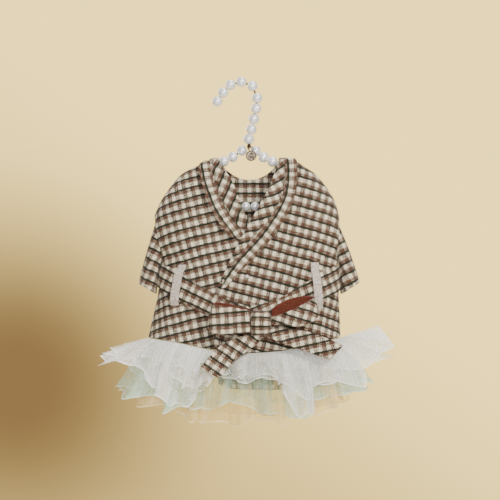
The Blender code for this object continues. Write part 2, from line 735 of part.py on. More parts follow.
def make_ribbons():
    for name, table in (("ribbon_left", RIBBON_LEFT), ("ribbon_right", RIBBON_RIGHT)):
        rows = []
        for x, z, lift in refined(table, 2):
            half = RIBBON_WIDTH / 2
            rows.append([body_point(x + side * half, z, lift) for side in (-1, 0, 1)])
        cloth(name, rows, RIBBON_WALL, VELVET, (0, -1, 0), share=0.0)


def make_bow():
    for name, table in (
        ("bow_loop_left", BOW_LOOP_LEFT),
        ("bow_loop_right", BOW_LOOP_RIGHT),
        ("bow_tail_left", BOW_TAIL_LEFT),
        ("bow_tail_right", BOW_TAIL_RIGHT),
    ):
        rows = []
        for x_top, z_top, x_low, z_low, y in refined(table, 2):
            rows.append([
                (x_top + (x_low - x_top) * s, y, z_top + (z_low - z_top) * s)
                for s in (0.0, 0.5, 1.0)
            ])
        cloth(name, rows, BELT_WALL, TWEED, (0, -1, 0), share=0.5)
    lump("bow_knot", KNOT_SECTIONS, TWEED)


def lump(name, sections, finish):
    """A closed rounded form through level sections given as z, x left, x right, y back, y front."""
    mesh = bmesh.new()
    rings = []
    for z, x_left, x_right, y_back, y_front in sections:
        ring = []
        for i in range(KNOT_POINTS):
            turn = 2 * math.pi * i / KNOT_POINTS
            x = (x_left + x_right) / 2 + (x_right - x_left) / 2 * rounded(math.cos(turn))
            y = (y_back + y_front) / 2 + (y_back - y_front) / 2 * rounded(math.sin(turn))
            ring.append(mesh.verts.new((x * MM, y * MM, (z + GARMENT_RISE) * MM)))
        rings.append(ring)
    for upper, lower in zip(rings, rings[1:]):
        for i in range(KNOT_POINTS):
            j = (i + 1) % KNOT_POINTS
            mesh.faces.new((upper[i], upper[j], lower[j], lower[i]))
    mesh.faces.new(rings[0])
    mesh.faces.new(rings[-1])
    bmesh.ops.recalc_face_normals(mesh, faces=mesh.faces)
    data = bpy.data.meshes.new(name)
    mesh.to_mesh(data)
    mesh.free()
    return put(bpy.data.objects.new(name, data), finish)


def rounded(value):
    """Turns a circle's coordinate into that of a rounder square."""
    return math.copysign(abs(value) ** 0.7, value)


def hem_ring(back):
    """Points along the hem from the left side seam to the right one, and their places 0 to 1."""
    hem = BACK_HEM if back else FRONT_HEM
    left, right = between(OUTLINE, HEM_SIDE_Z, 1), between(OUTLINE, HEM_SIDE_Z, 2)
    points = []
    for share in (1.0 - np.cos(np.linspace(0.0, math.pi, 61))) / 2:
        x = left + (right - left) * share
        z = between(hem, x)
        points.append((x, body_y(x, z, back), z))
    points = np.array(points)
    lengths = np.concatenate([[0.0], np.cumsum(np.linalg.norm(np.diff(points, axis=0), axis=1))])
    return points, lengths / lengths[-1]


def fold_at(table, place):
    """Reach and drop at this place: an even wave from each row of the table to the next."""
    for here, after in zip(table, table[1:]):
        if place <= after[0] + 1e-9:
            share = smooth_step(place, here[0], after[0])
            return [a + (b - a) * share for a, b in zip(here[1:], after[1:])]
    return table[-1][1:]


def flared(down, flare):
    """Share of the reach at this share of the way down. Above 1 the tulle stands out at once."""
    return 1.0 - (1.0 - down) ** flare if flare > 1.0 else down ** (2.0 - flare)


def make_tier(name, lift, folds, back, steps, flare, finish):
    """Half of a gathered tulle tier, from one side seam to the other."""
    points, places = hem_ring(back)
    columns = []
    for here, after in zip(folds, folds[1:]):
        columns += list(np.linspace(here[0], after[0], steps, endpoint=False))
    columns.append(1.0)
    grid = np.zeros((len(TIER_ROWS), len(columns), 3))
    for j, place in enumerate(columns):
        x, y, z = (np.interp(place, places, points[:, axis]) for axis in range(3))
        way = np.array([(x - HEM_CENTRE) * FAN_OUT, y if 0.0 < place < 1.0 else 0.0])
        way /= np.linalg.norm(way)
        reach, drop = fold_at(folds, place)
        off = lift if back else lift + lap_rise(x, z) * smooth_step(x, *LAP_EDGE)
        for i, down in enumerate(TIER_ROWS):
            out = off + reach * flared(down, flare)
            grid[i, j] = (x + way[0] * out, y + way[1] * out, z - TIER_GAP - drop * down ** 1.4)
    facing = (0, 1 if back else -1, 0)
    return cloth(name, grid, TULLE_WALL, finish, facing, share=0.5)


def other_way(folds):
    """The folds of a back half: those of the front half in the other order, between its ends."""
    inner = [(1.0 - place, reach, drop) for place, reach, drop in reversed(folds[1:-1])]
    return [folds[0], *inner, folds[-1]]


def make_skirt():
    for name, lift, folds, flare, colour in TIERS:
        finish = material(name, colour, 0.6, alpha=0.5)
        make_tier(name + "_front", lift, folds, False, 3, flare, finish)
        make_tier(name + "_back", lift, other_way(folds), True, 2, flare, finish)


def make_back_tail():
    rows = []
    for share in np.linspace(0.0, 1.0, 4):
        row = []
        for x in np.linspace(TAIL_PANEL_LEFT, TAIL_PANEL_RIGHT, 11):
            top = between(BACK_HEM, x) + TAIL_PANEL_TOP
            z = top + (between(TAIL_PANEL_DROP, x) - top) * share
            inside = TAIL_PANEL_INSIDE * smooth_step(share, -0.1, 0.5)
            row.append(body_point(x, z, -(TWEED_WALL + LAY + inside), back=True))
        rows.append(row)
    cloth("back_tail", rows, TWEED_WALL, TWEED, (0, 1, 0))


def bead_string(name, centres, bead, finish):
    """Beads in a row on a wire, as a curve that swells at each bead."""
    radius = bead / 2
    centres = [Vector((x, 0.0, z)) for x, z in centres]
    points = []
    for i, centre in enumerate(centres):
        before, after = centres[max(i - 1, 0)], centres[min(i + 1, len(centres) - 1)]
        way = (after - before).normalized()
        for along, swell in BEAD_PROFILE:
            points.append((centre + way * along * radius, swell))
    curve = bpy.data.curves.new(name, "CURVE")
    curve.dimensions = "3D"
    curve.bevel_depth = radius * MM
    curve.bevel_resolution = 1
    curve.use_fill_caps = True
    spline = curve.splines.new("POLY")
    spline.points.add(len(points) - 1)
    for point, (place, swell) in zip(spline.points, points):
        point.co = (*(place * MM), 1.0)
        point.radius = swell
    return put(bpy.data.objects.new(name, curve), finish)


def make_hanger():
    bead_string("hanger_hook", HOOK_BEADS, BEAD, PEARL)
    bead_string("hanger_arm_left", LEFT_ARM_BEADS, BEAD, PEARL)
    bead_string("hanger_arm_right", RIGHT_ARM_BEADS, BEAD, PEARL)
    bar = [
        (BAR_CENTRE + BAR_PITCH * (i + 0.5), BAR_Z)
        for i in range(-BAR_BEADS_LEFT, BAR_BEADS_RIGHT)
    ]
    bead_string("hanger_bar", bar, BAR_BEAD, PEARL)
    turned("wire_twist", WIRE_TWIST_PROFILE, WIRE_TWIST_TOP, WIRE_METAL)


def turned(name, profile, place, finish, steps=16, axis="Z"):
    """A turned solid. The profile's rows are radius and height, from top to bottom."""
    data = bpy.data.meshes.new(name)
    points = [(radius * MM, 0.0, height * MM) for radius, height in profile]
    edges = [(i, i + 1) for i in range(len(points) - 1)]
    data.from_pydata(points, edges, [])
    obj = bpy.data.objects.new(name, data)
    screw = obj.modifiers.new("turn", "SCREW")
    screw.axis = "Z"
    screw.steps = screw.render_steps = steps
    screw.use_merge_vertices = True
    screw.merge_threshold = 0.00001
    screw.use_smooth_shade = True
    obj.location = [value * MM for value in place]
    if axis == "Y":
        obj.rotation_euler = (math.pi / 2, 0.0, 0.0)
    return put(obj, finish, smooth=False)


def make_charm():
    """The plain disc that hangs from a small eye at the neck of the hanger."""
    x, y, z = CHARM_PIVOT
    points = [Vector(place) for place in EYE_LEAD]
    for turn in np.radians(np.linspace(*EYE_TURN, EYE_POINTS)):
        points.append(Vector((x, y + EYE_RADIUS * math.cos(turn), z + EYE_RADIUS * math.sin(turn))))
    curve = bpy.data.curves.new("charm_eye", "CURVE")
    curve.dimensions = "3D"
    curve.bevel_depth = LINK_WIRE * MM
    curve.bevel_resolution = 1
    curve.use_fill_caps = True
    spline = curve.splines.new("POLY")
    spline.points.add(len(points) - 1)
    for point, place in zip(spline.points, points):
        point.co = (*(place * MM), 1.0)
    put(bpy.data.objects.new("charm_eye", curve), BRONZE)

    bpy.ops.mesh.primitive_torus_add(
        major_segments=14, minor_segments=6, major_radius=RING_RADIUS * MM,
        minor_radius=LINK_WIRE * MM, rotation=(math.pi / 2, 0.0, 0.0),
        location=[value * MM for value in (x, y, z - RING_RADIUS)])
    ring = put(bpy.context.object, BRONZE)
    ring.name = "charm_ring"
    GUIDES.objects.link(ring)
    DRESS.objects.unlink(ring)
    ring.hide_render = True
    ring.display_type = "WIRE"
    disc = turned("charm", CHARM_PROFILE, (x, y, z - CHARM_DROP), BRONZE, axis="Y")
    join = disc.modifiers.new("ring", "BOOLEAN")
    join.operation = "UNION"
    join.object = ring


def main():
    global DRESS, GUIDES, TWEED, VELVET, PEARL, WIRE_METAL, BRONZE
    for obj in list(bpy.data.objects):
        bpy.data.objects.remove(obj, do_unlink=True)
    DRESS = bpy.data.collections.new("dog_dress_on_hanger")
    GUIDES = bpy.data.collections.new("guides")
    bpy.context.scene.collection.children.link(DRESS)
    bpy.context.scene.collection.children.link(GUIDES)
    TWEED = material("wool_tweed", (0.36, 0.30, 0.24), 0.9)
    VELVET = material("velvet_ribbon", (0.62, 0.58, 0.55), 0.75)
    PEARL = material("pearl", (0.88, 0.88, 0.90), 0.18)
    WIRE_METAL = material("dark_wire", (0.10, 0.08, 0.06), 0.4, metallic=1.0)
    BRONZE = material("aged_bronze", (0.22, 0.17, 0.12), 0.35, metallic=1.0)
    make_bodice()
    make_sleeve("sleeve_left", LEFT_SLEEVE)
    make_sleeve("sleeve_right", RIGHT_SLEEVE)
    make_collar()
    make_belt()
    make_ribbons()
    make_bow()
    make_back_tail()
    make_skirt()
    make_hanger()
    make_charm()


main()
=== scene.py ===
import math

import bmesh
import bpy
import numpy as np
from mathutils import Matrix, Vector


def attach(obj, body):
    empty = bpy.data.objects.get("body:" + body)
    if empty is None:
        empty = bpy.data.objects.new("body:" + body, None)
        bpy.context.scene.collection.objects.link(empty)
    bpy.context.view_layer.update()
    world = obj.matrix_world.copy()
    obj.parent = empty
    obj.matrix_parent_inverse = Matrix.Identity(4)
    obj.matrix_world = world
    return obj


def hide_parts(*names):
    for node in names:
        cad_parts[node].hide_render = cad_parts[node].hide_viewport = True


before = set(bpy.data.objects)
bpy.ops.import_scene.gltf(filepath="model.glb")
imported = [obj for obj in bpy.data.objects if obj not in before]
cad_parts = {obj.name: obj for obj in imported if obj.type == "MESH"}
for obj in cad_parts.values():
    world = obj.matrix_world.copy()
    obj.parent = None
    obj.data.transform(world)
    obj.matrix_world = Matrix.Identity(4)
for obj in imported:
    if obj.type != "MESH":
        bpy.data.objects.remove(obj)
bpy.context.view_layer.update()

# ---- Camera and studio ----
# The dress hangs in front of a warm wall and is seen straight on from about its middle,
# through a long lens. A softbox stands in front, above and to the right, and a broader, weaker
# one straight in front. Two more light the top and the back. The wall glows by itself, and its
# glow has a painted shadow of the dress at its lower left and painted light towards its upper
# right.


def linear(code):
    """An sRGB hex colour as the renderer's linear numbers."""
    shares = [int(code[i:i + 2], 16) / 255 for i in (1, 3, 5)]
    return [s / 12.92 if s <= 0.04045 else ((s + 0.055) / 1.055) ** 2.4 for s in shares] + [1.0]


def add_node(tree, kind, inputs=None, out=0, stops=None, steps="LINEAR", **settings):
    """Adds a shader node with its settings and links, and gives back one output, or all.

    stops are the places and the colours or numbers of a colour ramp, and steps how it goes
    from one to the next.
    """
    made = tree.nodes.new("ShaderNode" + kind)
    for name, value in settings.items():
        setattr(made, name, value)
    for name, value in (inputs or {}).items():
        if isinstance(value, bpy.types.NodeSocket):
            tree.links.new(value, made.inputs[name])
        else:
            made.inputs[name].default_value = value
    if stops:
        made.color_ramp.interpolation = steps
        elements = made.color_ramp.elements
        while len(elements) < len(stops):
            elements.new(1.0)
        for element, (place, colour) in zip(elements, stops):
            element.position = place
            element.color = linear(colour) if isinstance(colour, str) else [colour] * 3 + [1.0]
    return made.outputs if out is None else made.outputs[out]


def new_material(name, **values):
    """A material with the shader's own values, its node tree and its shader node."""
    material = bpy.data.materials.new(name)
    material.use_nodes = True
    shader = material.node_tree.nodes["Principled BSDF"]
    for socket, value in values.items():
        shader.inputs[socket.replace("_", " ")].default_value = (
            linear(value) if isinstance(value, str) else value
        )
    return material, material.node_tree, shader


def feed(tree, shader, **outputs):
    """Links outputs to the shader's sockets."""
    for socket, output in outputs.items():
        tree.links.new(output, shader.inputs[socket.replace("_", " ")])


def new_object(name, data):
    """A new object in the scene."""
    made = bpy.data.objects.new(name, data)
    bpy.context.scene.collection.objects.link(made)
    return made


CAMERA_PLACE = (0.0090, -2.6, -0.15485)
VIEW_WIDTH = 0.475  # seen at the hanger's own depth
camera_data = bpy.data.cameras.new("camera")
camera_data.sensor_width = 36.0
camera_data.lens = 36.0 * -CAMERA_PLACE[1] / VIEW_WIDTH
camera = new_object("camera", camera_data)
camera.location = CAMERA_PLACE
camera.rotation_euler = (math.pi / 2, 0.0, 0.0)
bpy.context.scene.camera = camera

LIGHTS = [
    # name, place, aim, size, watts, colour
    ("key", (1.35, -2.25, 1.35), (0.0, 0.0, -0.17), 0.5, 90.0, "#FFF6EA"),
    ("fill", (-0.1, -3.1, 0.2), (0.0, 0.0, -0.18), 1.1, 62.0, "#F6F6FF"),
    ("top", (0.2, 0.3, 1.9), (0.0, 0.0, -0.18), 1.4, 34.0, "#FFFFFF"),
    ("behind", (-1.2, 2.2, 0.5), (0.0, 0.0, -0.18), 1.4, 30.0, "#FFF6EA"),
]
for name, place, aim, size, watts, colour in LIGHTS:
    light_data = bpy.data.lights.new(name, "AREA")
    light_data.size = size
    light_data.energy = watts
    light_data.color = linear(colour)[:3]
    light = new_object(name, light_data)
    light.location = place
    light.rotation_euler = (Vector(aim) - Vector(place)).to_track_quat("-Z", "Y").to_euler()

ROOM_COLOUR = "#F3EEE4"
ROOM_STRENGTH = 0.62
world = bpy.data.worlds.new("studio")
world.use_nodes = True
background = world.node_tree.nodes["Background"]
background.inputs["Color"].default_value = linear(ROOM_COLOUR)
background.inputs["Strength"].default_value = ROOM_STRENGTH
bpy.context.scene.world = world

# The wall's glow has a painted shadow of the dress, centred low on its left, and painted light
# that makes it lighter towards its upper right.
PAINTED_SHADOW_MIDDLE = (-0.64, -0.36, 0.0)  # on the wall, m from its middle
PAINTED_SHADOW_FULL, PAINTED_SHADOW_END = 0.08, 0.7  # m from there where the dark is full, and where it ends
PAINTED_LIGHT_WAY = (0.55, 0.83, 0.0)  # the way in which the whole wall grows lighter
PAINTED_LIGHT_FROM, PAINTED_LIGHT_TO = -0.75, 0.2  # m along it
PAINTED_LIGHT_LEAST = 0.4
PAINTED_SHADOW_COLOUR = "#4A340A"
STAGE = [
    # name, half size, place, upright, colour, colour and strength of its glow
    ("floor", 6.0, (0.0, 0.0, -1.2), False, "#E9E2D2", "#E9E2D2", 0.0),
    ("wall", 1.6, (0.0, 5.0, -0.16), True, "#6E6250", "#EECF76", 2.75),
]


def painted_light_glow(tree, colour):
    """The wall's glow, darkened by a painted shadow of the dress towards its lower left and by
    painted light that falls off away from its upper right.
    """
    spot = add_node(tree, "TexCoord", out="Object")
    away = add_node(tree, "VectorMath", {0: spot, 1: PAINTED_SHADOW_MIDDLE}, out=1, operation="DISTANCE")
    away = add_node(tree, "MapRange", {0: away, 1: PAINTED_SHADOW_FULL, 2: PAINTED_SHADOW_END, 3: 0.0, 4: 1.0},
                    interpolation_type="SMOOTHSTEP")
    slope = add_node(tree, "VectorMath", {0: spot, 1: PAINTED_LIGHT_WAY}, out=1, operation="DOT_PRODUCT")
    slope = add_node(tree, "MapRange", {0: slope, 1: PAINTED_LIGHT_FROM, 2: PAINTED_LIGHT_TO, 3: PAINTED_LIGHT_LEAST, 4: 1.0},
                     interpolation_type="SMOOTHSTEP")
    # share darkens the glow towards the painted shadow's colour, for the painted shadow and
    # painted light
    share = add_node(tree, "Math", {0: away, 1: slope}, operation="MULTIPLY")
    return add_node(tree, "Mix", {0: share, 6: linear(PAINTED_SHADOW_COLOUR), 7: linear(colour)}, out=2,
                    data_type="RGBA")


for name, half, place, upright, colour, glow_colour, glow in STAGE:
    paint, tree, shader = new_material(
        "painted_" + name, Base_Color=colour, Roughness=0.9, Emission_Color=glow_colour,
        Emission_Strength=glow)
    # Only the wall gets the painted shadow and painted light in its glow.
    if upright:
        feed(tree, shader, Emission_Color=painted_light_glow(tree, glow_colour))
    plane = bpy.data.meshes.new(name)
    corners = [(-half, -half, 0), (half, -half, 0), (half, half, 0), (-half, half, 0)]
    plane.from_pydata(corners, [], [(0, 1, 2, 3)])
    plane.materials.append(paint)
    stage_piece = new_object(name, plane)
    stage_piece.location = place
    stage_piece.rotation_euler = (math.pi / 2 if upright else 0.0, 0.0, 0.0)

# ---- Bodice: two fronts and a back ----
# Brushed wool in a small cream, brown and dark green check, woven as a 2/2 twill. Each piece is
# cut singly, its edges turned in, and sewn to the next along the shoulders and sides.

MM = 0.001
YARN_COLOURS = ("#D8CEB4", "#52382B", "#041812")  # cream, brown, dark green
YARN_FROM = (0.0, 4 / 9, 7 / 9)  # share of a check at which each begins
YARN_OVER = (0.72, 0.22, 0.02)  # share of the crossings where it lies on top
STRAY_FIBRES = "#A99A8A"
CHECK = (7.9, 9.4)  # mm across and along from one check to the next
YARNS = 18  # in a check: 8 cream, 6 brown, 4 dark. Real ones are finer and wouldn't show
TWILL = 4  # yarns in one repeat of the twill
TOOTH = 0.95  # mm by which a colour's edge steps to and fro with the twill
GARMENT_RISE = np.array([0.0, 0.0, 4.75])  # mm from the tables' heights to the hanger's
LAY_ROUNDS = 500  # of moving the points of a piece that is laid out flat
SHARP_ANGLE = 52.0  # degrees between two faces that meet in a sharp edge
SHARP_CREASE = 0.85  # how sharp it stays when the piece is made fine
FINE_LEVELS = 3
RIM_UP = 0.8  # how far a loop's face has to look up or down to be a cut edge
WAVER_TERMS = 7
TO_FRONT, TO_BACK = (0, -1, 0), (0, 1, 0)


def wool_check():
    """Brushed wool twill. It is matt and hairy, so it is rough, with a soft sheen of fibres."""
    material, tree, shader = new_material(
        "brushed_wool_check", Roughness=0.92, IOR=1.54, Sheen_Weight=0.08, Sheen_Roughness=0.45,
        Specular_IOR_Level=0.2)
    cloth = add_node(tree, "UVMap", uv_map="cloth")
    drift = add_node(tree, "TexNoise", {"Vector": cloth, "Scale": 0.05, "Detail": 1.0},
                     out="Color")
    hairs = add_node(tree, "TexNoise", {"Vector": cloth, "Scale": 1.7, "Detail": 2.0}, out="Color")
    place = add_node(tree, "VectorMath", {0: drift, 1: (1.5, 1.5, 0.0), 2: cloth},
                     operation="MULTIPLY_ADD")
    place = add_node(tree, "VectorMath", {0: hairs, 1: (0.45, 0.45, 0.0), 2: place},
                     operation="MULTIPLY_ADD")
    ways = add_node(tree, "SeparateXYZ", {0: place}, out=None)
    toothed = []
    for way, other in ((ways[0], ways[1]), (ways[1], ways[0])):
        tooth = add_node(tree, "Math", {0: other, 1: TOOTH}, operation="PINGPONG")
        toothed.append(add_node(tree, "Math", {0: tooth, 1: way}, operation="ADD"))
    yarns, rounds, counts, shares = [], [], [], []
    for way, size in zip(toothed, CHECK):
        check = add_node(tree, "Math", {0: way, 1: 1 / size}, operation="MULTIPLY")
        check = add_node(tree, "Math", {0: check}, operation="FRACT")
        yarns.append(add_node(tree, "ValToRGB", {"Fac": check},
                              stops=list(zip(YARN_FROM, YARN_COLOURS)), steps="CONSTANT"))
        shares.append(add_node(tree, "ValToRGB", {"Fac": check},
                               stops=list(zip(YARN_FROM, YARN_OVER)), steps="CONSTANT"))
        count = add_node(tree, "Math", {0: way, 1: YARNS / size}, operation="MULTIPLY")
        counts.append(count)
        share = add_node(tree, "Math", {0: count}, operation="FRACT")
        rounds.append(add_node(tree, "Math", {0: share, 1: 0.5, 2: 0.5}, operation="PINGPONG"))
    whole = add_node(tree, "Math", {0: counts[0]}, operation="FLOOR")
    slant = add_node(tree, "Math", {0: whole, 1: counts[1]}, operation="ADD")
    slant = add_node(tree, "Math", {0: slant, 1: 1 / TWILL}, operation="MULTIPLY")
    slant = add_node(tree, "Math", {0: slant}, operation="FRACT")
    over = add_node(tree, "Math", {0: slant, 1: shares[1]}, operation="LESS_THAN")
    colour = add_node(tree, "Mix", {0: over, 6: yarns[1], 7: yarns[0]}, out=2, data_type="RGBA")
    mottle = add_node(tree, "TexNoise", {"Vector": cloth, "Scale": 0.9, "Detail": 3.0})
    tone = add_node(tree, "MapRange", {0: mottle, 1: 0.3, 2: 0.7, 3: 0.8, 4: 1.16})
    colour = add_node(tree, "HueSaturation", {"Color": colour, "Value": tone})
    stray = add_node(tree, "TexNoise", {"Vector": cloth, "Scale": 2.6, "Detail": 2.0})
    stray = add_node(tree, "MapRange", {0: stray, 1: 0.5, 2: 0.75, 3: 0.0, 4: 0.15})
    colour = add_node(tree, "Mix", {0: stray, 6: colour, 7: linear(STRAY_FIBRES)}, out=2,
                      data_type="RGBA")
    height = add_node(tree, "Mix", {0: over, 2: rounds[1], 3: rounds[0]})
    height = add_node(tree, "Math", {0: stray, 1: 1.2, 2: height}, operation="MULTIPLY_ADD")
    bump = add_node(tree, "Bump", {"Height": height, "Strength": 0.5, "Distance": 0.25 * MM})
    feed(tree, shader, Base_Color=colour, Normal=bump)
    return material


def lay_flat(places, faces, guess):
    """Where each point lies when the piece is laid out flat: a first guess is moved until the
    net of edges and diagonals has its true lengths. A net round a tube stays open at its back."""
    pairs = set()
    for corners in faces:
        for i, first in enumerate(corners):
            for second in corners[i + 1:]:
                pairs.add((min(first, second), max(first, second)))
    pairs = np.array(sorted(pairs))
    true = np.linalg.norm(places[pairs[:, 0]] - places[pairs[:, 1]], axis=1)
    start = np.linalg.norm(guess[pairs[:, 0]] - guess[pairs[:, 1]], axis=1)
    pairs, true = pairs[start < 4 * true + 6], true[start < 4 * true + 6]
    count = np.maximum(np.bincount(pairs.ravel(), minlength=len(places)), 1)[:, None]
    flat = guess.copy()
    for _ in range(LAY_ROUNDS):
        gap = flat[pairs[:, 1]] - flat[pairs[:, 0]]
        now = np.maximum(np.linalg.norm(gap, axis=1), 1e-9)
        pull = (0.5 * (now - true) / now)[:, None] * gap
        move = np.zeros_like(flat)
        np.add.at(move, pairs[:, 0], pull)
        np.add.at(move, pairs[:, 1], -pull)
        flat += 1.5 * move / count
    return flat


def seen_flat(places):
    """First guess for a piece that faces the front or the back: its x and z."""
    return places[:, (0, 2)].copy()


def along_line(flat, line):
    """Distances across and along a line of x and z, for each place."""
    line = np.array(line, float)
    best = np.full(len(flat), 1e9)
    made = np.zeros_like(flat)
    begun = 0.0
    last = len(line) - 2
    for number, (start, end) in enumerate(zip(line, line[1:])):
        way = end - start
        length = np.linalg.norm(way)
        way = way / length
        share = (flat - start) @ way
        low, high = (-1e9 if number == 0 else 0.0), (1e9 if number == last else length)
        nearest = np.clip(share, low, high)
        off = flat - start - nearest[:, None] * way
        far = np.linalg.norm(off, axis=1)
        across = (flat - start) @ np.array([way[1], -way[0]])
        closer = far < best - 1e-9
        made[closer, 0] = np.sign(across[closer]) * far[closer]
        made[closer, 1] = begun + nearest[closer]
        best = np.minimum(best, far)
        begun += length
    return made


def mark_sides(mesh, facing, spine):
    """Marks the sharp edges, and numbers each face's finish: outer side, inner side, cut edge.

    Gives back the faces of the two largest sides, the outer one first.
    """
    crease = mesh.edges.layers.float.new("crease_edge")
    for edge in mesh.edges:
        if len(edge.link_faces) == 2 and edge.calc_face_angle() > math.radians(SHARP_ANGLE):
            edge[crease] = SHARP_CREASE
    for face in mesh.faces:
        face.tag = False
        face.material_index = 2
    sides = []
    for first in mesh.faces:
        if first.tag:
            continue
        side, open_faces = [], [first]
        first.tag = True
        while open_faces:
            face = open_faces.pop()
            side.append(face)
            for edge in face.edges:
                for other in edge.link_faces if edge[crease] == 0.0 else ():
                    if not other.tag:
                        other.tag = True
                        open_faces.append(other)
        sides.append(side)
    sides.sort(key=lambda side: -sum(face.calc_area() for face in side))
    middle = sum((vert.co for vert in mesh.verts), Vector()) / len(mesh.verts)

    def outer_share(side):
        return sum(face.calc_area() * face.normal.dot(
            Vector(facing) if facing else (face.calc_center_median() - middle).normalized())
            for face in side)

    sides = sorted(sides[:2], key=outer_share, reverse=True)
    for index, side in enumerate(sides):
        for face in side:
            face.material_index = index
    if spine:
        for face in mesh.faces:
            x, y, _ = face.calc_center_median() / MM
            way = Vector((min(max(x, spine[0]), spine[1]) - x, spine[2] - y, 0.0))
            inner = face.normal.dot(way) > 0.0
            face.material_index = 2 if abs(face.normal.z) > RIM_UP else 1 if inner else 0
    return sides


def on_the_check(mesh, sides, guess, line, turn, hand):
    """Where each point of the piece lies on the woven check, in mm."""
    mesh.verts.index_update()
    places = np.array([vert.co for vert in mesh.verts]) / MM - GARMENT_RISE
    flat = guess(places)
    if line is None:
        for side in sides:
            used = sorted({vert.index for face in side for vert in face.verts})
            at = {vert: i for i, vert in enumerate(used)}
            faces = [[at[vert.index] for vert in face.verts] for face in side]
            flat[used] = lay_flat(places[used], faces, flat[used])
    else:
        flat = along_line(flat, line)
    angle = math.radians(turn)
    flat = flat @ np.array([[math.cos(angle), -math.sin(angle)],
                            [math.sin(angle), math.cos(angle)]])
    return flat * np.array(hand)


def cloth_copy(node, finishes, cloth="wool", guess=seen_flat, turn=0.0, hand=(1, 1),
               facing=None, line=None, girth=0.0, spine=None):
    """A fine copy of a piece's solid, laid out flat for its check.

    finishes are the materials of its outer side, its inner side and its cut edges. The check
    is turned by turn degrees; hand is -1 where its order across or along is reversed. With
    line, it follows that line of x and z. girth is the way round a tube. spine is the middle
    line of a loop, from x to x at y: the loop's inner side is the one that faces it.
    """
    name = f"{node}_{cloth}"
    mesh = bmesh.new()
    mesh.from_mesh(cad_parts[node].data)
    bmesh.ops.remove_doubles(mesh, verts=mesh.verts, dist=1e-6)
    bmesh.ops.join_triangles(
        mesh, faces=mesh.faces, angle_face_threshold=math.radians(60),
        angle_shape_threshold=math.radians(180))
    sides = mark_sides(mesh, facing, spine)
    flat = on_the_check(mesh, sides, guess, line, turn, hand)
    layer = mesh.loops.layers.uv.new("cloth")
    for face in mesh.faces:
        around = [flat[vert.index].copy() for vert in face.verts]
        if girth:
            widest = max(place[0] for place in around)
            for place in around:
                if widest - place[0] > girth / 2:
                    place[0] += girth
        for loop, place in zip(face.loops, around):
            loop[layer].uv = place
    data = bpy.data.meshes.new(name + "_coarse")
    for finish in finishes:
        data.materials.append(finish)
    mesh.to_mesh(data)
    mesh.free()
    coarse = new_object(name + "_coarse", data)
    smooth = coarse.modifiers.new("smooth", "SUBSURF")
    smooth.levels = smooth.render_levels = FINE_LEVELS
    graph = bpy.context.evaluated_depsgraph_get()
    fine = bpy.data.meshes.new_from_object(coarse.evaluated_get(graph))
    bpy.data.objects.remove(coarse)
    fine.name = name
    fine.shade_smooth()
    return new_object(name, fine)


def points_of(piece):
    """The piece's points in mm, at the heights of the garment's tables."""
    values = np.zeros(len(piece.data.vertices) * 3)
    piece.data.vertices.foreach_get("co", values)
    return values.reshape(-1, 3) / MM - GARMENT_RISE


def move_points(piece, places):
    piece.data.vertices.foreach_set("co", ((places + GARMENT_RISE) * MM).ravel())
    piece.data.update()


def waver(places, size, seed):
    """Soft uneven waves of about this size in mm, from -1 to 1, at each place."""
    chance = np.random.default_rng(seed)
    ways = chance.normal(size=(WAVER_TERMS, places.shape[1]))
    ways /= np.linalg.norm(ways, axis=1)[:, None]
    ways *= (2 * math.pi / size) * chance.uniform(0.6, 1.6, WAVER_TERMS)[:, None]
    starts = chance.uniform(0, 2 * math.pi, WAVER_TERMS)
    return np.sin(places @ ways.T + starts).mean(axis=1) * 1.7


def folds_at(flat, folds, seed=0):
    """Height of the soft folds at each place; a fold's row is its two ends, width and height."""
    height = np.zeros(len(flat))
    for number, (x_start, z_start, x_end, z_end, width, depth) in enumerate(folds):
        start, way = np.array([x_start, z_start]), np.array([x_end - x_start, z_end - z_start])
        length = np.linalg.norm(way)
        way = way / length
        along = (flat - start) @ way
        across = (flat - start) @ np.array([-way[1], way[0]])
        across = across + waver(flat, 3.0 * width + 8.0, seed + number) * width * 0.35
        share = np.clip(along / length, -0.3, 1.3)
        taper = np.clip(1.0 - np.abs(2.0 * share - 1.0) ** 3 / 1.6, 0.0, 1.0)
        height += depth * taper * np.exp(-(across / width) ** 2)
    return height


BODICE_FOLDS = [
    # x, z of each end, width, height: troughs are negative
    (-70, -160, -38, -185, 5, -1.3), (-74, -150, -30, -160, 7, 0.9),
    (-45, -215, -25, -248, 5, -1.6), (-58, -208, -48, -243, 6.5, 1.1),
    (-76, -205, -78, -240, 4.5, -0.9), (-28, -180, -24, -198, 4, -1.6),
    (88, -160, 58, -186, 5.5, -1.2), (90, -140, 52, -152, 7, 0.8),
    (62, -212, 66, -245, 5, -1.2), (44, -222, 50, -250, 6, 1),
    (84, -203, 86, -240, 5, -0.8), (20, -168, 34, -200, 5.5, -0.9),
]
MIDDLE = 3.0  # x of the dress's middle
BACK_FROM = 4.0  # y beyond which a point is on the dress's back
SHOULDER, SHOULDER_FADE = -78.0, 14.0  # z of its top, and mm over which the folds begin
SIDE_FADE = 9.0  # mm from the side seams over which the folds end


def outward(places):
    """Level directions away from the dress's middle line."""
    way = np.stack([(places[:, 0] - MIDDLE) * 0.3, places[:, 1], np.zeros(len(places))], axis=1)
    return way / np.maximum(np.linalg.norm(way, axis=1), 1e-6)[:, None]


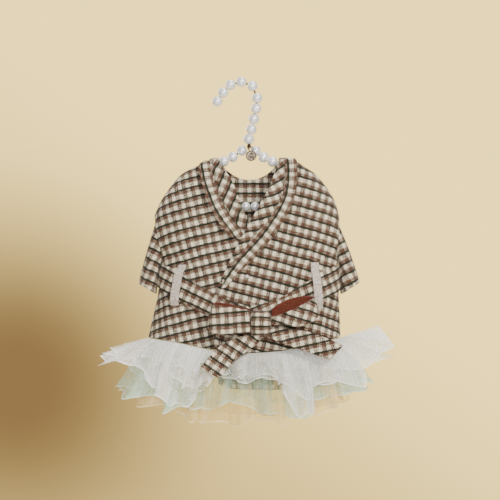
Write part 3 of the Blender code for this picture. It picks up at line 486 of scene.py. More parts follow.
def rumple(piece):
    """Presses the bodice's folds into a piece of it, or into one that lies on it."""
    places = points_of(piece)
    back = places[:, 1] > BACK_FROM
    flat = places[:, (0, 2)] * np.where(back, -1.0, 1.0)[:, None] ** np.array([1, 2])
    height = folds_at(flat, BODICE_FOLDS) + 0.45 * waver(places, 46.0, 5)
    height += 0.16 * waver(places, 13.0, 6)
    fade = np.clip((SHOULDER - places[:, 2]) / SHOULDER_FADE, 0.0, 1.0)
    side = np.clip(np.abs(places[:, 1]) / SIDE_FADE, 0.0, 1.0)
    move_points(piece, places + outward(places) * (height * fade * side)[:, None])
    return piece


def stand_in(piece, node, body="dress_on_hanger"):
    """Puts a piece in the place of its solid."""
    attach(piece, body)
    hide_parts(node)


def sew(piece, node):
    """Puts a cloth piece in the place of its solid."""
    stand_in(piece, node)


WOOL = wool_check()
BODICE = [
    # node, turn and hand of the check, facing, flat size, what it hangs on, area
    ("front_left", 14.0, (-1, 1), TO_FRONT, (0.137, 0.191), ["hanger_arm_left"], 0.0174),
    ("front_right", -15.0, (1, -1), TO_FRONT, (0.137, 0.197), ["hanger_arm_right"], 0.0180),
    ("back", 0.0, (1, 1), TO_BACK, (0.201, 0.186), ["hanger_arm_left", "hanger_arm_right"],
     0.0302),
]
bodice = {}
for node, turn, hand, facing, flat_size, hangs_on, area in BODICE:
    bodice[node] = rumple(cloth_copy(node, [WOOL] * 3, turn=turn, hand=hand, facing=facing))
    sew(bodice[node], node)

# ---- Collar ----
# A shawl collar of the same wool: a bias-cut piece along each neck edge and a straight band on
# its outer edge, turned under and sewn down, so its outer edge stands a little off the front.

LEFT_BAND_LINE = [
    (-34.8, -72), (-33.9, -83), (-29.8, -99), (-22.8, -117), (-14.2, -132), (-5.2, -144),
    (3.7, -157),
]
RIGHT_BAND_LINE = [
    (47, -72), (47.8, -84), (48, -98), (44.5, -112), (38, -125.5), (30, -137.8), (20, -150.8),
    (8.2, -163), (-4.3, -177.3), (-14.5, -191.8), (-20, -202),
]
LEFT_COLLAR_LINE = [
    (-25, -72), (-23, -82), (-16.5, -95), (-9, -112), (-2, -127), (9, -143),
]
RIGHT_COLLAR_LINE = [
    (39.5, -72), (38.2, -82.5), (35.5, -97), (31.2, -109), (25, -120), (16.5, -134), (8, -146),
    (-0.5, -158), (-10, -177), (-18, -191),
]
COLLAR = [
    # node, line, turn of the check, flat size
    ("collar_left", LEFT_COLLAR_LINE, 42.0, (0.016, 0.085)),
    ("collar_right", RIGHT_COLLAR_LINE, 45.0, (0.0125, 0.130)),
    ("collar_band_left", LEFT_BAND_LINE, 90.0, (0.0135, 0.088)),
    ("collar_band_right", RIGHT_BAND_LINE, 90.0, (0.0135, 0.142)),
]
# Three grooves: mm outwards from a band's middle line, and width. The first is the seam to the
# collar, the second a band's stitching, and in the third the front dips under a band's edge.
NECK_SEAM, STITCHING, TRENCH = (-7.0, 1.4), (3.6, 0.9), (7.7, 1.3)
NECK_SEAM_DEPTH = {"left": 1.8, "right": 0.9}
STITCHING_DEPTH = 0.5
TRENCH_DEPTH, TRENCH_FADE = 2.0, 6.0  # mm deep, and mm from the side seams to that depth
TRENCH_MORE, TRENCH_MORE_FROM, TRENCH_MORE_OVER = 3.0, -100.0, 20.0  # low on the left side
BAND_RISE, BAND_RISE_FROM, BAND_RISE_OVER = 2.6, -3.0, 7.0  # its outer edge stands off by this


def band_offset(places, side):
    """How far outwards from the middle line of a side's band each place lies."""
    line, sign = (LEFT_BAND_LINE, 1.0) if side == "left" else (RIGHT_BAND_LINE, -1.0)
    return sign * along_line(places[:, (0, 2)], line)[:, 0]


def dent(offset, groove, depth):
    """A narrow groove beside a line, for the pull of a seam."""
    return depth * np.exp(-((offset - groove[0]) / groove[1]) ** 2)


for node, line, turn, flat_size in COLLAR:
    collar = rumple(cloth_copy(node, [WOOL] * 3, turn=turn, line=line, facing=TO_FRONT))
    places = points_of(collar)
    side = node.split("_")[-1]
    offset = band_offset(places, side)
    places[:, 1] += dent(offset, NECK_SEAM, NECK_SEAM_DEPTH[side])
    if "band" in node:
        rise = np.clip((offset - BAND_RISE_FROM) / BAND_RISE_OVER, 0.0, 1.0) ** 1.5
        places[:, 1] -= BAND_RISE * rise
        places[:, 1] += dent(offset, STITCHING, STITCHING_DEPTH)
    places[:, 1] -= 0.25 * waver(places, 9.0, 61)
    move_points(collar, places)
    sew(collar, node)

for side in ("left", "right"):
    front = bodice["front_" + side]
    places = points_of(front)
    facing = np.clip(-places[:, 1] / TRENCH_FADE, 0.0, 1.0)
    low = np.clip((TRENCH_MORE_FROM - places[:, 2]) / TRENCH_MORE_OVER, 0.0, 1.0)
    depth = TRENCH_DEPTH + TRENCH_MORE * low * (side == "left")
    places[:, 1] += facing * dent(band_offset(places, side), TRENCH, depth)
    move_points(front, places)

# ---- Sleeves ----
# Short straight sleeves of the same wool, each one tube sewn into its armhole with a turned-in
# cuff. They hang from the shoulder and stand a little open.

LEFT_SLEEVE = [
    # x upper, z upper, x under, z under, half depth, back
    (-82.6, -129.5, -75.4, -169, 8.2, 0), (-84.4, -137, -78.4, -173, 10.5, 0.5),
    (-87, -147, -79.6, -177.5, 12, 1), (-90, -158.5, -80.2, -182.5, 13.5, 2),
    (-93, -171, -80.8, -188, 15, 3), (-95.6, -182.5, -81.6, -194.5, 16, 4),
    (-97.2, -191.5, -82.2, -201, 16.5, 4.5),
]
RIGHT_SLEEVE = [
    # x upper, z upper, x under, z under, half depth, back
    (94.6, -129.5, 93.2, -169, 8.2, 0), (98, -137.5, 96.6, -173.5, 10.5, 0.5),
    (102.4, -150, 97.2, -178.5, 12, 1), (106.8, -163.5, 97.4, -184, 13.5, 2),
    (110.2, -176, 97.6, -190, 15, 3), (112.6, -184.5, 97.8, -196.5, 16, 4),
    (113.8, -190.5, 98, -201.5, 16.5, 4.5),
]
SLEEVES = [
    # node, sections, hand of the check, x of its inner side, pull of that side towards the arm
    ("sleeve_left", LEFT_SLEEVE, (1, 1), -79.0, 3.2),
    ("sleeve_right", RIGHT_SLEEVE, (1, -1), 97.0, -3.5),
]
PULL_FADE = 18.0  # mm from the inner side over which the pull ends
SLEEVE_GIRTH = 74.0


def round_sleeve(sections):
    """First guess for a sleeve: the way round it from the middle of its front, and down it."""
    rows = np.array(sections)
    fine = np.linspace(0, len(rows) - 1, 121)
    rows = np.stack([np.interp(fine, range(len(rows)), column) for column in rows.T], axis=1)
    upper, under = rows[:, 0:2], rows[:, 2:4]
    centres = (upper + under) / 2
    down = np.concatenate([[0], np.cumsum(np.linalg.norm(np.diff(centres, axis=0), axis=1))])

    def guess(places):
        flat = places[:, None, (0, 2)] - under[None]
        way = upper - under
        off = np.abs(flat[:, :, 0] * way[:, 1] - flat[:, :, 1] * way[:, 0])
        row = np.argmin(off / np.linalg.norm(way, axis=1), axis=1)
        way = way[row]
        share = (places[:, (0, 2)] - under[row])
        share = 2 * (share * way).sum(axis=1) / (way ** 2).sum(axis=1) - 1
        depth = (places[:, 1] - rows[row, 5]) / rows[row, 4]
        turn = np.arctan2(share, -depth)
        return np.stack([turn * SLEEVE_GIRTH / (2 * math.pi), -down[row]], axis=1)

    return guess


for node, sections, hand, inner_x, pull in SLEEVES:
    sleeve = cloth_copy(node, [WOOL] * 3, guess=round_sleeve(sections), hand=hand,
                        girth=SLEEVE_GIRTH)
    places = points_of(sleeve)
    places[:, 0] += pull * np.clip(1.0 - np.abs(places[:, 0] - inner_x) / PULL_FADE, 0.0, 1.0)
    places[:, 1] -= 0.9 * waver(places, 26.0, 51) + 0.4 * waver(places, 11.0, 52)
    move_points(sleeve, places)
    sew(sleeve, node)

# ---- Belt and bow ----
# One long strip of the wool lined in rust red wool. It goes round the waist through two velvet
# loops and is tied in front: a knot, two loops and two tails that hang over the tulle.

NAP_DEPTH = 0.3  # mm


def napped(name, scale, strength, stops, **values):
    """Plain cloth with a nap or a pile, whose colour and bump follow one soft noise."""
    material, tree, shader = new_material(name, Specular_IOR_Level=0.2, **values)
    nap = add_node(tree, "TexNoise",
                   {"Vector": add_node(tree, "UVMap", uv_map="cloth"), "Scale": scale,
                    "Detail": 4.0})
    bump = add_node(tree, "Bump",
                    {"Height": nap, "Strength": strength, "Distance": NAP_DEPTH * MM})
    feed(tree, shader, Base_Color=add_node(tree, "ValToRGB", {"Fac": nap}, stops=stops),
         Normal=bump)
    return material


# Plain rust-red wool felt, brushed, so it is matt with a soft nap that catches light.
LINING = napped("rust_wool_lining", 0.8, 0.5,
                [(0.3, "#30130B"), (0.5, "#4E2113"), (0.72, "#7A4029")],
                Roughness=0.95, IOR=1.54, Sheen_Weight=0.3, Sheen_Roughness=0.5)
BELT = [
    # node, turn of the check, facing, flat size
    ("belt_left", -26.0, TO_FRONT, (0.110, 0.023)),
    ("belt_right", 24.5, TO_FRONT, (0.108, 0.0235)),
    ("belt_back", 0.0, TO_BACK, (0.188, 0.025)),
]
for node, turn, facing, flat_size in BELT:
    belt = rumple(cloth_copy(node, [WOOL, LINING, WOOL], turn=turn, facing=facing))
    sew(belt, node)

BOW_FOLDS = [
    # x, z of each end, width, height: creases that the knot pulls into the bow
    (6, -222, -14, -219, 2.4, -1.3), (6, -230, -8, -233, 2.2, -1.1),
    (32, -224, 48, -219, 2.2, -1.2), (8, -241, -10, -252, 3, -0.9),
    (36, -238, 60, -243, 2.6, -1), (70, -244, 92, -252, 4, 0.8),
]
LOOP_RISE_FROM, LOOP_RISE_OVER = -232.0, 8.0  # z up from which a loop's front is raised
KNOT_MIDDLE, KNOT_WAS_AT, KNOT_HEIGHT = -241.0, -239.4, 0.89  # pulled tight to this share
KNOT_FRONT = -42.0  # y in front of which the knot is creased
BOW = [
    # node, cut edges, turn of the check, flat size, facing, spine, rise of a loop's front
    ("bow_loop_left", LINING, 4.0, (0.082, 0.025), None, (-26.0, 12.0, -44.6), 1.6),
    ("bow_loop_right", LINING, -16.0, (0.095, 0.019), None, (26.0, 66.0, -44.6), 0.0),
    ("bow_tail_left", WOOL, -35.0, (0.061, 0.0185), TO_FRONT, None, 0.0),
    ("bow_tail_right", LINING, 13.0, (0.070, 0.0172), TO_FRONT, None, 0.0),
]
for node, rim, turn, flat_size, facing, spine, rise in BOW:
    piece = cloth_copy(node, [WOOL, LINING, rim], turn=turn, facing=facing, spine=spine)
    places = points_of(piece)
    height = folds_at(places[:, (0, 2)], BOW_FOLDS, 40) + 0.25 * waver(places, 17.0, 9)
    places[:, 1] -= height
    if spine:
        front = np.clip(spine[2] - places[:, 1], 0.0, 1.0)
        high = np.clip((places[:, 2] - LOOP_RISE_FROM) / LOOP_RISE_OVER, 0.0, 1.0)
        places[:, 2] += front * rise * high
    move_points(piece, places)
    sew(piece, node)

knot = cloth_copy("bow_knot", [WOOL] * 3)
places = points_of(knot)
places[:, 2] = KNOT_MIDDLE + (places[:, 2] - KNOT_WAS_AT) * KNOT_HEIGHT
creases = waver(places[:, (0, 2)] * np.array([2.6, 0.7]), 18.0, 12)
places[:, 1] -= 1.2 * creases * (places[:, 1] < KNOT_FRONT)
move_points(knot, places)
stand_in(knot, "bow_knot")

# ---- Velvet loops ----
# Two short lengths of light grey velvet ribbon that hold the belt. Each runs over the belt and
# is sewn down to the front above and below it.

# Cotton velvet: a deep soft pile, rough, with a strong pale sheen where it turns away.
VELVET = napped("grey_velvet_ribbon", 0.45, 0.4,
                [(0.3, "#8F867C"), (0.5, "#B5ABA0"), (0.75, "#D8D0C6")],
                Roughness=0.85, IOR=1.5, Sheen_Weight=0.5, Sheen_Roughness=0.35)
for node in ("ribbon_left", "ribbon_right"):
    ribbon = cloth_copy(node, [VELVET] * 3, "velvet", facing=TO_FRONT)
    places = points_of(ribbon)
    places[:, 1] += 0.35 * waver(places, 9.0, 21)
    move_points(ribbon, places)
    sew(ribbon, node)

# ---- Tail panel ----
# A longer panel of the wool goes on from the back inside the tulle and shows through it. It is
# cut in one layer and sewn into the hem seam.

TAIL_TOP, TAIL_LENGTH = -250.0, 40.0
TAIL_WAVE = 1.4  # mm
tail_panel = cloth_copy("back_tail", [WOOL] * 3, facing=TO_BACK)
places = points_of(tail_panel)
drop = np.clip((TAIL_TOP - places[:, 2]) / TAIL_LENGTH, 0.0, 1.0)
places[:, 1] += drop * TAIL_WAVE * waver(places[:, :1], 30.0, 31)
move_points(tail_panel, places)
sew(tail_panel, "back_tail")

# ---- Tulle skirt ----
# Three gathered tiers of stiff nylon net on the hem: white with glitter on top, then grey-green,
# then champagne. Each is cut as a front half and a back half, gathered to the hem seam.

HEM = [
    # x, then y and z of the front, y and z of the back
    (-87.5, -1.1, -242.2, 1, -242.2), (-85.7, -7.9, -242.4, 6.7, -242.5),
    (-80.6, -15.1, -243.1, 12.8, -243.3), (-72.1, -21.4, -244.3, 18.2, -244.6),
    (-60.8, -26.2, -245.8, 22.4, -246.3), (-46.9, -29.3, -248.8, 25, -248.2),
    (-31.2, -30, -252.3, 25.5, -249.4), (-14.1, -30.1, -254.3, 25.7, -250.7),
    (3.7, -30.2, -255.6, 25.8, -251.9), (21.6, -30.2, -255, 25.7, -250.7),
    (38.7, -30.1, -253.5, 25.5, -249.5), (54.4, -29.4, -251, 25, -248.4),
    (68.3, -26.4, -248, 22.4, -246.5), (79.6, -21.4, -245.4, 18.1, -244.5),
    (88.1, -15.1, -243.4, 12.8, -242.9), (93.2, -7.9, -242.2, 6.6, -242),
    (95, -0.2, -241.7, 0.2, -241.7),
]
WHITE_FOLDS = [
    # place, reach, drop: the long under plies
    (0, 43, 15.5), (0.018, 31, 19), (0.042, 45, 26), (0.07, 27, 20), (0.105, 24, 26),
    (0.15, 22, 42), (0.19, 31, 44), (0.235, 15, 58), (0.285, 27, 60), (0.325, 13, 44),
    (0.365, 24, 38), (0.41, 12, 26), (0.46, 19, 25), (0.505, 15, 28), (0.545, 33, 24),
    (0.585, 20, 25), (0.62, 31, 30), (0.655, 17, 44), (0.69, 29, 70), (0.722, 22, 66),
    (0.755, 13, 42), (0.8, 30, 38), (0.84, 18, 36), (0.88, 34, 40), (0.915, 26, 28),
    (0.948, 52, 19), (0.966, 38, 15), (0.98, 50, 9), (1, 34, -12),
]
FLUFF_FOLDS = [
    # place, reach, drop: the short crumpled plies on top of them
    (0, 36, 9), (0.03, 28, 17), (0.08, 20, 17), (0.13, 29, 25), (0.19, 17, 36), (0.24, 25, 28),
    (0.3, 14, 38), (0.36, 24, 25), (0.42, 12, 19), (0.47, 23, 20), (0.52, 14, 25), (0.58, 29, 20),
    (0.63, 18, 30), (0.69, 26, 36), (0.75, 14, 27), (0.8, 26, 28), (0.86, 18, 31), (0.91, 30, 22),
    (0.95, 38, 13), (0.98, 40, 3), (1, 28, -7),
]
MINT_FOLDS = [
    # place, reach, drop
    (0, 32, 48), (0.05, 24, 50), (0.1, 30, 56), (0.15, 14, 54), (0.2, 23, 62), (0.255, 10, 58),
    (0.31, 18, 60), (0.365, 8, 56), (0.42, 17, 52), (0.48, 20, 50), (0.53, 10, 54), (0.59, 18, 58),
    (0.65, 9, 60), (0.71, 18, 62), (0.77, 9, 56), (0.825, 20, 54), (0.88, 12, 52), (0.93, 28, 52),
    (0.97, 22, 44), (1, 32, 44),
]
CHAMPAGNE_FOLDS = [
    # place, reach, drop
    (0, 20, 58), (0.055, 13, 60), (0.11, 18, 65), (0.17, 4, 64), (0.235, 9, 68), (0.295, 1, 66),
    (0.36, 8, 68), (0.425, 0, 67), (0.49, 7, 69), (0.555, 0, 66), (0.62, 8, 66), (0.69, 0, 65),
    (0.755, 8, 64), (0.82, 2, 62), (0.885, 14, 60), (0.945, 12, 56), (1, 22, 52),
]
TIER_GAP = 0.8  # mm from the bodice's hem to the gathered edge
COLUMNS, ROWS = 460, 26  # points along a half's hem, and down it
FAN = 0.4  # how far the folds fan to the sides
GATHER_PITCH, GATHER_DEPTH = 3.4, 0.45  # mm, of the fine gathers at the seam
SEAM_END = 0.04  # share of the hem at each end over which the ruffles begin
WING = 0.12  # share of the hem at each end that stands out straight
CURL = 1.6  # mm that the cut hem rolls out
PLEAT_COVER = 0.5  # how much more a fold's flank hides than the flat net
NET = 1.6  # mm between lines; a real net's, about 1 mm, is too fine to show, so it is coarser
EDGE_COVER = 0.7  # how much more the cut edge hides
FLAKE = 0.17  # radius of a glitter flake, as a share of the way from one to the next


def net(name, thin, thick, cover, gather, glitter=0.0):
    """Nylon net. Its threads are glossy and its holes open, so it is sheer, and paler where it
    is gathered or doubled in a fold; the glitter is small bright flakes glued on. cover is the
    share the flat net hides, gather how much more it hides at the seam."""
    material, tree, shader = new_material(
        name, Roughness=0.5, IOR=1.53, Sheen_Weight=0.2, Specular_IOR_Level=0.4)
    cloth = add_node(tree, "UVMap", uv_map="cloth")
    ways = add_node(tree, "SeparateXYZ", {0: cloth}, out=None)
    fold = add_node(tree, "SeparateXYZ", {0: add_node(tree, "UVMap", uv_map="fold")}, out=None)
    streaks = add_node(tree, "VectorMath", {0: cloth, 1: (1.0, 0.05, 1.0)}, operation="MULTIPLY")
    streaks = add_node(tree, "TexNoise", {"Vector": streaks, "Scale": 0.5, "Detail": 3.0})
    line = add_node(tree, "Math", {0: streaks, 1: 3.0, 2: ways[0]}, operation="MULTIPLY_ADD")
    line = add_node(tree, "Math", {0: line, 1: 1 / NET}, operation="MULTIPLY")
    line = add_node(tree, "Math", {0: line, 1: 1.0}, operation="PINGPONG")
    line = add_node(tree, "MapRange", {0: line, 1: 0.5, 2: 1.0, 3: -0.2, 4: 0.45})
    body = add_node(tree, "MapRange", {0: streaks, 1: 0.3, 2: 0.7, 3: 0.6, 4: 1.3})
    crush = add_node(tree, "TexNoise", {"Vector": cloth, "Scale": 0.13, "Detail": 4.0})
    crush = add_node(tree, "MapRange", {0: crush, 1: 0.3, 2: 0.7, 3: 0.35, 4: 1.65})
    body = add_node(tree, "Math", {0: body, 1: crush, 2: line}, operation="MULTIPLY_ADD")
    gathered = add_node(tree, "MapRange", {0: fold[1], 1: 0.0, 2: 0.55, 3: gather, 4: 0.0})
    edge = add_node(tree, "MapRange", {0: ways[1], 1: 0.5, 2: 1.2, 3: EDGE_COVER, 4: 0.0})
    more = add_node(tree, "Math", {0: fold[0], 1: PLEAT_COVER, 2: gathered},
                    operation="MULTIPLY_ADD")
    more = add_node(tree, "Math", {0: more, 1: edge}, operation="ADD")
    alpha = add_node(tree, "Math", {0: body, 1: cover, 2: more}, operation="MULTIPLY_ADD",
                     use_clamp=True)
    if glitter:
        flakes = add_node(tree, "TexVoronoi", {"Vector": cloth, "Scale": glitter})
        flakes = add_node(tree, "Math", {0: flakes, 1: FLAKE}, operation="LESS_THAN")
        alpha = add_node(tree, "Math", {0: alpha, 1: flakes}, operation="MAXIMUM")
        rough = add_node(tree, "MapRange", {0: flakes, 1: 0.0, 2: 1.0, 3: 0.5, 4: 0.12})
        feed(tree, shader, Roughness=rough)
    tint = add_node(tree, "ValToRGB", {"Fac": alpha}, stops=[(0.15, thin), (0.9, thick)])
    crease = add_node(tree, "Math", {0: crush, 1: streaks}, operation="MULTIPLY")
    bump = add_node(tree, "Bump", {"Height": crease, "Strength": 0.45, "Distance": 2.0 * MM})
    feed(tree, shader, Base_Color=tint, Alpha=alpha, Normal=bump)
    return material


def waves_along(places, pitch, seed, ahead=0.0):
    """An uneven wave along the hem: about one crest each pitch (in mm), from -1 to 1. ahead
    reads it so many mm further on."""
    chance = np.random.default_rng(seed)
    knots = np.arange(places.min() - 2 * pitch, places.max() + 3 * pitch, pitch / 2)
    heights = chance.uniform(0.45, 1.0, len(knots)) * np.where(np.arange(len(knots)) % 2, 1, -1)
    knots = knots + chance.uniform(-0.18, 0.18, len(knots)) * pitch
    places = places + ahead
    gap = np.clip(np.searchsorted(knots, places) - 1, 0, len(knots) - 2)
    share = (places - knots[gap]) / (knots[gap + 1] - knots[gap])
    share = share * share * (3 - 2 * share)
    return heights[gap] * (1 - share) + heights[gap + 1] * share


def set_uv(data, name, values):
    """A UV map from one pair of values for each point."""
    corners = np.zeros(len(data.loops), int)
    data.loops.foreach_get("vertex_index", corners)
    data.uv_layers.new(name=name).data.foreach_set("uv", values.reshape(-1, 2)[corners].ravel())


def tulle(name, finish, ring, folds, lift, flare, ply):
    """One ply of a half tier, as a net of points from the gathered seam to the cut hem.

    ply is its own reach and drop as shares of the table's, the pitch, depth and swing of its
    ruffles, how boxed their fronts are, how uneven its hem is, and its seed. A ruffle swings to
    the side as it comes forward, so that it laps over the next one.
    """
    reach_share, drop_share, pitch, depth, swing, boxed, uneven, seed = ply
    steps = np.linalg.norm(np.diff(ring, axis=0), axis=1)
    lengths = np.concatenate([[0.0], np.cumsum(steps)])
    mm_along = np.linspace(0.0, lengths[-1], COLUMNS)
    place = mm_along / lengths[-1]
    top = np.stack([np.interp(mm_along, lengths, ring[:, i]) for i in range(3)], axis=1)
    table = np.array(folds)
    gap = np.clip(np.searchsorted(table[:, 0], place, side="right") - 1, 0, len(table) - 2)
    share = (place - table[gap, 0]) / (table[gap + 1, 0] - table[gap, 0])
    share = np.clip(share, 0, 1)
    share = (share * share * (3 - 2 * share))[:, None]
    reach, drop = (table[gap, 1:] * (1 - share) + table[gap + 1, 1:] * share).T
    way = np.stack([(top[:, 0] - MIDDLE) * FAN, top[:, 1]], axis=1)
    way[[0, -1], 1] = 0.0
    way /= np.linalg.norm(way, axis=1)[:, None]
    tangent = np.stack([-way[:, 1], way[:, 0]], axis=1)
    wave = np.tanh(boxed * waves_along(mm_along, pitch, seed)) / math.tanh(boxed)
    swung = waves_along(mm_along, pitch, seed, ahead=pitch / 4)
    gathers = waves_along(mm_along, GATHER_PITCH, seed + 1)
    small = waves_along(mm_along, pitch * 0.4, seed + 2)
    slow = waves_along(mm_along, pitch * 2.6, seed + 3)
    ends = np.clip(np.minimum(place, 1 - place) / SEAM_END, 0.0, 1.0)
    inner = np.clip(np.minimum(place, 1 - place) / WING, 0.0, 1.0)
    grid = np.zeros((ROWS, COLUMNS, 3))
    down = np.linspace(0.0, 1.0, ROWS)
    for i, share in enumerate(down):
        flared = 1 - (1 - share) ** flare if flare > 1 else share ** (2 - flare)
        flared = flared * inner + share * (1 - inner)
        out = lift + reach * reach_share * flared
        out = out + ends * depth * share ** 0.9 * (wave + 0.3 * small)
        out = out + GATHER_DEPTH * gathers * ends * (1 - share) ** 2
        out = out + CURL * ends * np.clip((share - 0.9) / 0.1, 0.0, 1.0) ** 2
        side = ends * share * (swing * swung + 0.5 * swing * slow)
        fall = drop * drop_share * share ** (1 + 0.3 * inner) * (
            1 + ends * uneven * (0.3 * wave + slow + 0.6 * swung + 0.4 * small))
        grid[i, :, 0] = top[:, 0] + way[:, 0] * out + tangent[:, 0] * side
        grid[i, :, 1] = top[:, 1] + way[:, 1] * out + tangent[:, 1] * side
        grid[i, :, 2] = top[:, 2] - TIER_GAP - fall
    data = bpy.data.meshes.new(name)
    numbers = np.arange(ROWS * COLUMNS).reshape(ROWS, COLUMNS)
    quads = np.stack([numbers[:-1, :-1], numbers[:-1, 1:], numbers[1:, 1:], numbers[1:, :-1]],
                     axis=2).reshape(-1, 4)
    data.from_pydata(((grid.reshape(-1, 3) + GARMENT_RISE) * MM).tolist(), [], quads.tolist())
    run = np.gradient(grid, axis=1)
    straight = np.abs((run[:, :, :2] * tangent[None]).sum(axis=2))
    pleat = 1 - straight / np.maximum(np.linalg.norm(run, axis=2), 1e-9)
    across = np.concatenate([[0.0], np.cumsum(np.linalg.norm(run, axis=2).mean(axis=0)[1:])])
    fall = np.linalg.norm(np.diff(grid, axis=0), axis=2)
    up = np.concatenate([np.cumsum(fall[::-1], axis=0)[::-1], np.zeros((1, COLUMNS))])
    set_uv(data, "cloth", np.stack([np.tile(across, (ROWS, 1)), up], axis=2))
    set_uv(data, "fold", np.stack([pleat, np.tile(down[:, None], (1, COLUMNS))], axis=2))
    data.materials.append(finish)
    data.shade_smooth()
    return new_object(name, data)


def turned_round(folds):
    """The folds of a back half: the front half's in the other order, but for its two ends."""
    inner = [(1.0 - place, reach, drop) for place, reach, drop in reversed(folds)
             if folds[2][0] < 1.0 - place < folds[-4][0]]
    return [*folds[:3], *inner, *folds[-4:]]


WHITE_NET = net("white_glitter_tulle", "#F4F4EC", "#FFFFFF", 0.13, 0.28, glitter=0.42)
MINT_NET = net("grey_green_tulle", "#9CCDB4", "#CFE8D9", 0.19, 0.1)
CHAMPAGNE_NET = net("champagne_tulle", "#D2AA50", "#F0DDAE", 0.19, 0.1)
TIERS = [
    # name, material, lift, flare, plies: table, cut, then reach, drop, pitch, depth, swing,
    # boxed, uneven, seed
    ("tulle_white", WHITE_NET, 1.2, 1.5,
     [(WHITE_FOLDS, (0.380, 0.041), 1.0, 0.95, 29.0, 6.0, 5.0, 1.8, 0.09, 101),
      (FLUFF_FOLDS, (0.370, 0.0345), 1.0, 1.05, 23.0, 6.0, 5.0, 1.4, 0.2, 113),
      (FLUFF_FOLDS, (0.335, 0.0195), 0.62, 0.6, 15.0, 5.0, 4.0, 1.2, 0.3, 119)]),
    ("tulle_mint", MINT_NET, -0.5, 0.9,
     [(MINT_FOLDS, (0.300, 0.0545), 1.0, 0.97, 34.0, 6.0, 4.0, 3.5, 0.06, 127)]),
    ("tulle_champagne", CHAMPAGNE_NET, -2.2, 0.8,
     [(CHAMPAGNE_FOLDS, (0.270, 0.061), 1.0, 0.98, 40.0, 5.5, 4.0, 3.5, 0.05, 139)]),
]
HALVES = [
    # half, its columns of the hem's table, what it adds to the seeds
    ("front", (0, 1, 2), 0),
    ("back", (0, 3, 4), 50),
]
for name, finish, lift, flare, plies in TIERS:
    for half, columns, more in HALVES:
        is_back = half == "back"
        for number, (folds, cut, *ply, seed) in enumerate(plies[:2] if is_back else plies):
            piece = tulle(f"{name}_{half}_{number + 1}", finish, np.array(HEM)[:, columns],
                          turned_round(folds) if is_back else folds, lift, flare,
                          (*ply, seed + more))
            sew(piece, f"{name}_{half}")

# ---- Hanger ----
# White plastic pearls threaded on a dark wire: a hook, two arms and a bar, held by a twist of
# the wire at the neck. The dress hangs on the arms.

HOOK_BEADS = [
    # x, z
    (-21.9, -13.6), (-16.4, -5.2), (-9.4, 2.1), (0.8, 4.9), (11.3, 0.9), (15.8, -10.3),
    (14.8, -20.5), (12.7, -30.4), (10.4, -40), (7.9, -49.4),
]
LEFT_ARM_BEADS = [
    # x, z
    (1.3, -60.5), (-7.3, -66.4), (-16, -70.9), (-24.6, -75.6), (-33.6, -79.8), (-42.4, -84.2),
    (-50.8, -89.4), (-58.4, -96.2), (-64.8, -104.9),
]
RIGHT_ARM_BEADS = [
    # x, z
    (14.3, -60.9), (21.9, -66.8), (30.4, -70.9), (39.2, -73.9), (47.7, -78.2), (56.1, -83.2),
    (64.2, -88.7), (71.3, -95.9), (76.2, -104.9),
]
BAR_CENTRE, BAR_PITCH, BAR_HEIGHT = 9.4, 8.6, -113.4
BAR_BEADS = [(BAR_CENTRE + BAR_PITCH * (i + 0.5), BAR_HEIGHT) for i in range(-9, 8)]
BEAD = 9.9
BAR_BEAD = 8.5
STRINGS = [
    # node, centres, bead
    ("hanger_hook", HOOK_BEADS, BEAD), ("hanger_arm_left", LEFT_ARM_BEADS, BEAD),
    ("hanger_arm_right", RIGHT_ARM_BEADS, BEAD), ("hanger_bar", BAR_BEADS, BAR_BEAD),
]
WIRE = 0.9
TWIST_X, TWIST_TOP, TWIST_RADIUS, TWIST_TURNS = 7.9, -54.6, 1.5, 2.5
TWIST_FALL = 0.2  # mm for each radian of its turns
TWIST_WIRE, TWIST_POINTS = 0.5, 60
CORE_TOP, CORE_FOOT = -54.0, -59.6  # of the straight wire inside the twist
BALL_AROUND, BALL_UP, TUBE_AROUND = 24, 16, 8  # faces
SHARP_WIRE = 50.0  # degrees between two faces that meet in a sharp edge


def pearl_lacquer():
    """Lacquered plastic pearl: white under a clear hard coat, so a small sharp highlight."""
    material, tree, shader = new_material(
        "white_pearl_lacquer", Metallic=0.4, Roughness=0.3, IOR=1.5, Coat_Weight=1.0,
        Coat_Roughness=0.03)
    place = add_node(tree, "TexCoord", out="Object")
    cloud = add_node(tree, "TexNoise", {"Vector": place, "Scale": 160.0, "Detail": 2.0})
    colour = add_node(tree, "ValToRGB", {"Fac": cloud}, stops=[(0.3, "#E2E4E6"), (0.7, "#FAFAF8")])
    feed(tree, shader, Base_Color=colour)
    return material


def dark_metal(name, low, high, rough):
    """Lacquered dark metal, worn brighter in patches."""
    material, tree, shader = new_material(name, Metallic=1.0)
    place = add_node(tree, "TexCoord", out="Object")
    wear = add_node(tree, "TexNoise", {"Vector": place, "Scale": 700.0, "Detail": 3.0})
    colour = add_node(tree, "ValToRGB", {"Fac": wear}, stops=[(0.35, low), (0.7, high)])
    gloss = add_node(tree, "MapRange", {0: wear, 1: 0.3, 2: 0.7, 3: rough + 0.1, 4: rough - 0.05})
    feed(tree, shader, Base_Color=colour, Roughness=gloss)
    return material


PEARL = pearl_lacquer()
WIRE_METAL = dark_metal("dark_lacquered_wire", "#2A2019", "#5B4634", 0.4)
BRONZE = dark_metal("aged_bronze", "#372E25", "#7C6F5F", 0.35)


def ball(mesh, centre, radius, finish):
    made = bmesh.ops.create_uvsphere(mesh, u_segments=BALL_AROUND, v_segments=BALL_UP,
                                     radius=radius * MM)
    bmesh.ops.translate(mesh, verts=made["verts"], vec=Vector(centre) * MM)
    for face in {face for vert in made["verts"] for face in vert.link_faces}:
        face.material_index = finish


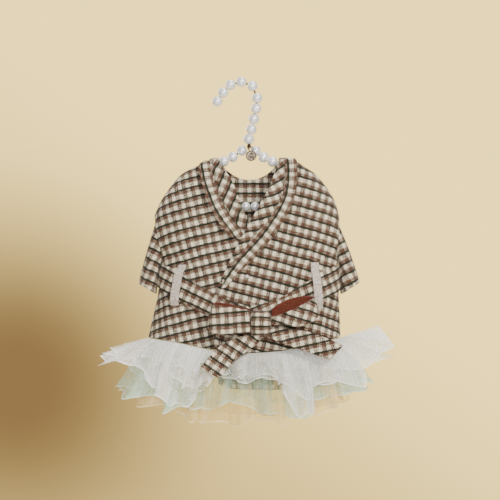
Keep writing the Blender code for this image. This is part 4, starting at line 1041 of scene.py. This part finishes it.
def skin(mesh, rings):
    """The faces between rings of points. A ring may be a single point."""
    made = []
    for first, second in zip(rings, rings[1:]):
        count = max(len(first), len(second))
        for k in range(count):
            j = (k + 1) % count
            corners = (first[k % len(first)], first[j % len(first)],
                       second[j % len(second)], second[k % len(second)])
            made.append(mesh.faces.new(list(dict.fromkeys(corners))))
    return made


def tube(mesh, points, radius, finish):
    """A round wire through the points."""
    points = [Vector(point) for point in points]
    rings = []
    side = None
    for i, point in enumerate(points):
        way = (points[min(i + 1, len(points) - 1)] - points[max(i - 1, 0)]).normalized()
        if side is None:
            side = way.orthogonal().normalized()
        side = (side - way * side.dot(way)).normalized()
        other = way.cross(side)
        rings.append([
            mesh.verts.new((point + (side * math.cos(a) + other * math.sin(a)) * radius) * MM)
            for a in (2 * math.pi * k / TUBE_AROUND for k in range(TUBE_AROUND))
        ])
    made = skin(mesh, rings)
    made += [mesh.faces.new(rings[0][::-1]), mesh.faces.new(rings[-1])]
    for face in made:
        face.material_index = finish


def as_piece(mesh, name, finishes):
    data = bpy.data.meshes.new(name)
    mesh.to_mesh(data)
    mesh.free()
    for finish in finishes:
        data.materials.append(finish)
    data.shade_smooth()
    data.set_sharp_from_angle(angle=math.radians(SHARP_WIRE))
    return new_object(name, data)


for node, centres, bead in STRINGS:
    mesh = bmesh.new()
    for x, z in centres:
        ball(mesh, (x, 0.0, z), bead / 2, 0)
    tube(mesh, [(x, 0.0, z) for x, z in centres], WIRE, 1)
    stand_in(as_piece(mesh, node + "_pearls", [PEARL, WIRE_METAL]), node)

mesh = bmesh.new()
turns = [
    (TWIST_X + TWIST_RADIUS * math.cos(a), TWIST_RADIUS * math.sin(a), TWIST_TOP - TWIST_FALL * a)
    for a in np.linspace(0.0, 2 * math.pi * TWIST_TURNS, TWIST_POINTS)
]
tube(mesh, turns, TWIST_WIRE, 0)
tube(mesh, [(TWIST_X, 0.0, CORE_TOP), (TWIST_X, 0.0, CORE_FOOT)], WIRE, 0)
stand_in(as_piece(mesh, "wire_twist_coil", [WIRE_METAL]), "wire_twist")

# ---- Small pearl on the front ----
# One small pearl of the same lacquered plastic, sewn on with a few stitches near the crossing
# edge of the right front.

SMALL_PEARL = (6.2, -184.3)  # x, z
SMALL_PEARL_RADIUS = 1.6
SMALL_PEARL_STANDS = 0.9  # mm from the cloth to its centre
CLOTH_NEAR = 3.0  # mm round it in which the cloth is looked for
places = points_of(bodice["front_right"])
near = np.linalg.norm(places[:, (0, 2)] - np.array(SMALL_PEARL), axis=1) < CLOTH_NEAR
cloth_y = places[near, 1].min()
centre = np.array([SMALL_PEARL[0], cloth_y - SMALL_PEARL_STANDS, SMALL_PEARL[1]]) + GARMENT_RISE
mesh = bmesh.new()
ball(mesh, centre, SMALL_PEARL_RADIUS, 0)
small_pearl = as_piece(mesh, "small_pearl", [PEARL])
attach(small_pearl, "dress_on_hanger")

# ---- Charm ----
# A plain round bronze disc with a raised rim, cast and aged dark, on a small ring in an eye of
# the wire.

CHARM_X, CHARM_Y, CHARM_Z = 10.0, -6.6, -65.6
CHARM_PROFILE = [
    # radius, how far it stands forward
    (0, 0.34), (1.5, 0.32), (1.7, 0.05), (2, 0.05), (2.2, 0.4), (2.5, 0.4), (2.7, 0.05),
    (3.8, 0.02), (4, 0.3), (4.2, 0.62), (4.7, 0.66), (4.9, 0.5), (5, 0.1), (5, -0.4), (4.7, -0.7),
    (0, -0.7),
]
CHARM_AROUND = 48
RING_Z, RING_RADIUS, RING_WIRE, RING_POINTS = -59.1, 2.0, 0.4, 33
mesh = bmesh.new()
rings = []
for radius, forward in CHARM_PROFILE:
    rings.append([
        mesh.verts.new(((CHARM_X + radius * math.cos(a)) * MM, (CHARM_Y - forward) * MM,
                        (CHARM_Z + radius * math.sin(a)) * MM))
        for a in (2 * math.pi * k / CHARM_AROUND for k in range(CHARM_AROUND if radius else 1))
    ])
skin(mesh, rings)
ring_points = [
    (CHARM_X + RING_RADIUS * math.sin(a), CHARM_Y, RING_Z + RING_RADIUS * math.cos(a))
    for a in np.linspace(0.0, 2 * math.pi, RING_POINTS)
]
tube(mesh, ring_points, RING_WIRE, 0)
bmesh.ops.recalc_face_normals(mesh, faces=mesh.faces)
stand_in(as_piece(mesh, "charm_disc", [BRONZE]), "charm", "charm")
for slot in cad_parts["charm_eye"].material_slots:
    slot.material = BRONZE
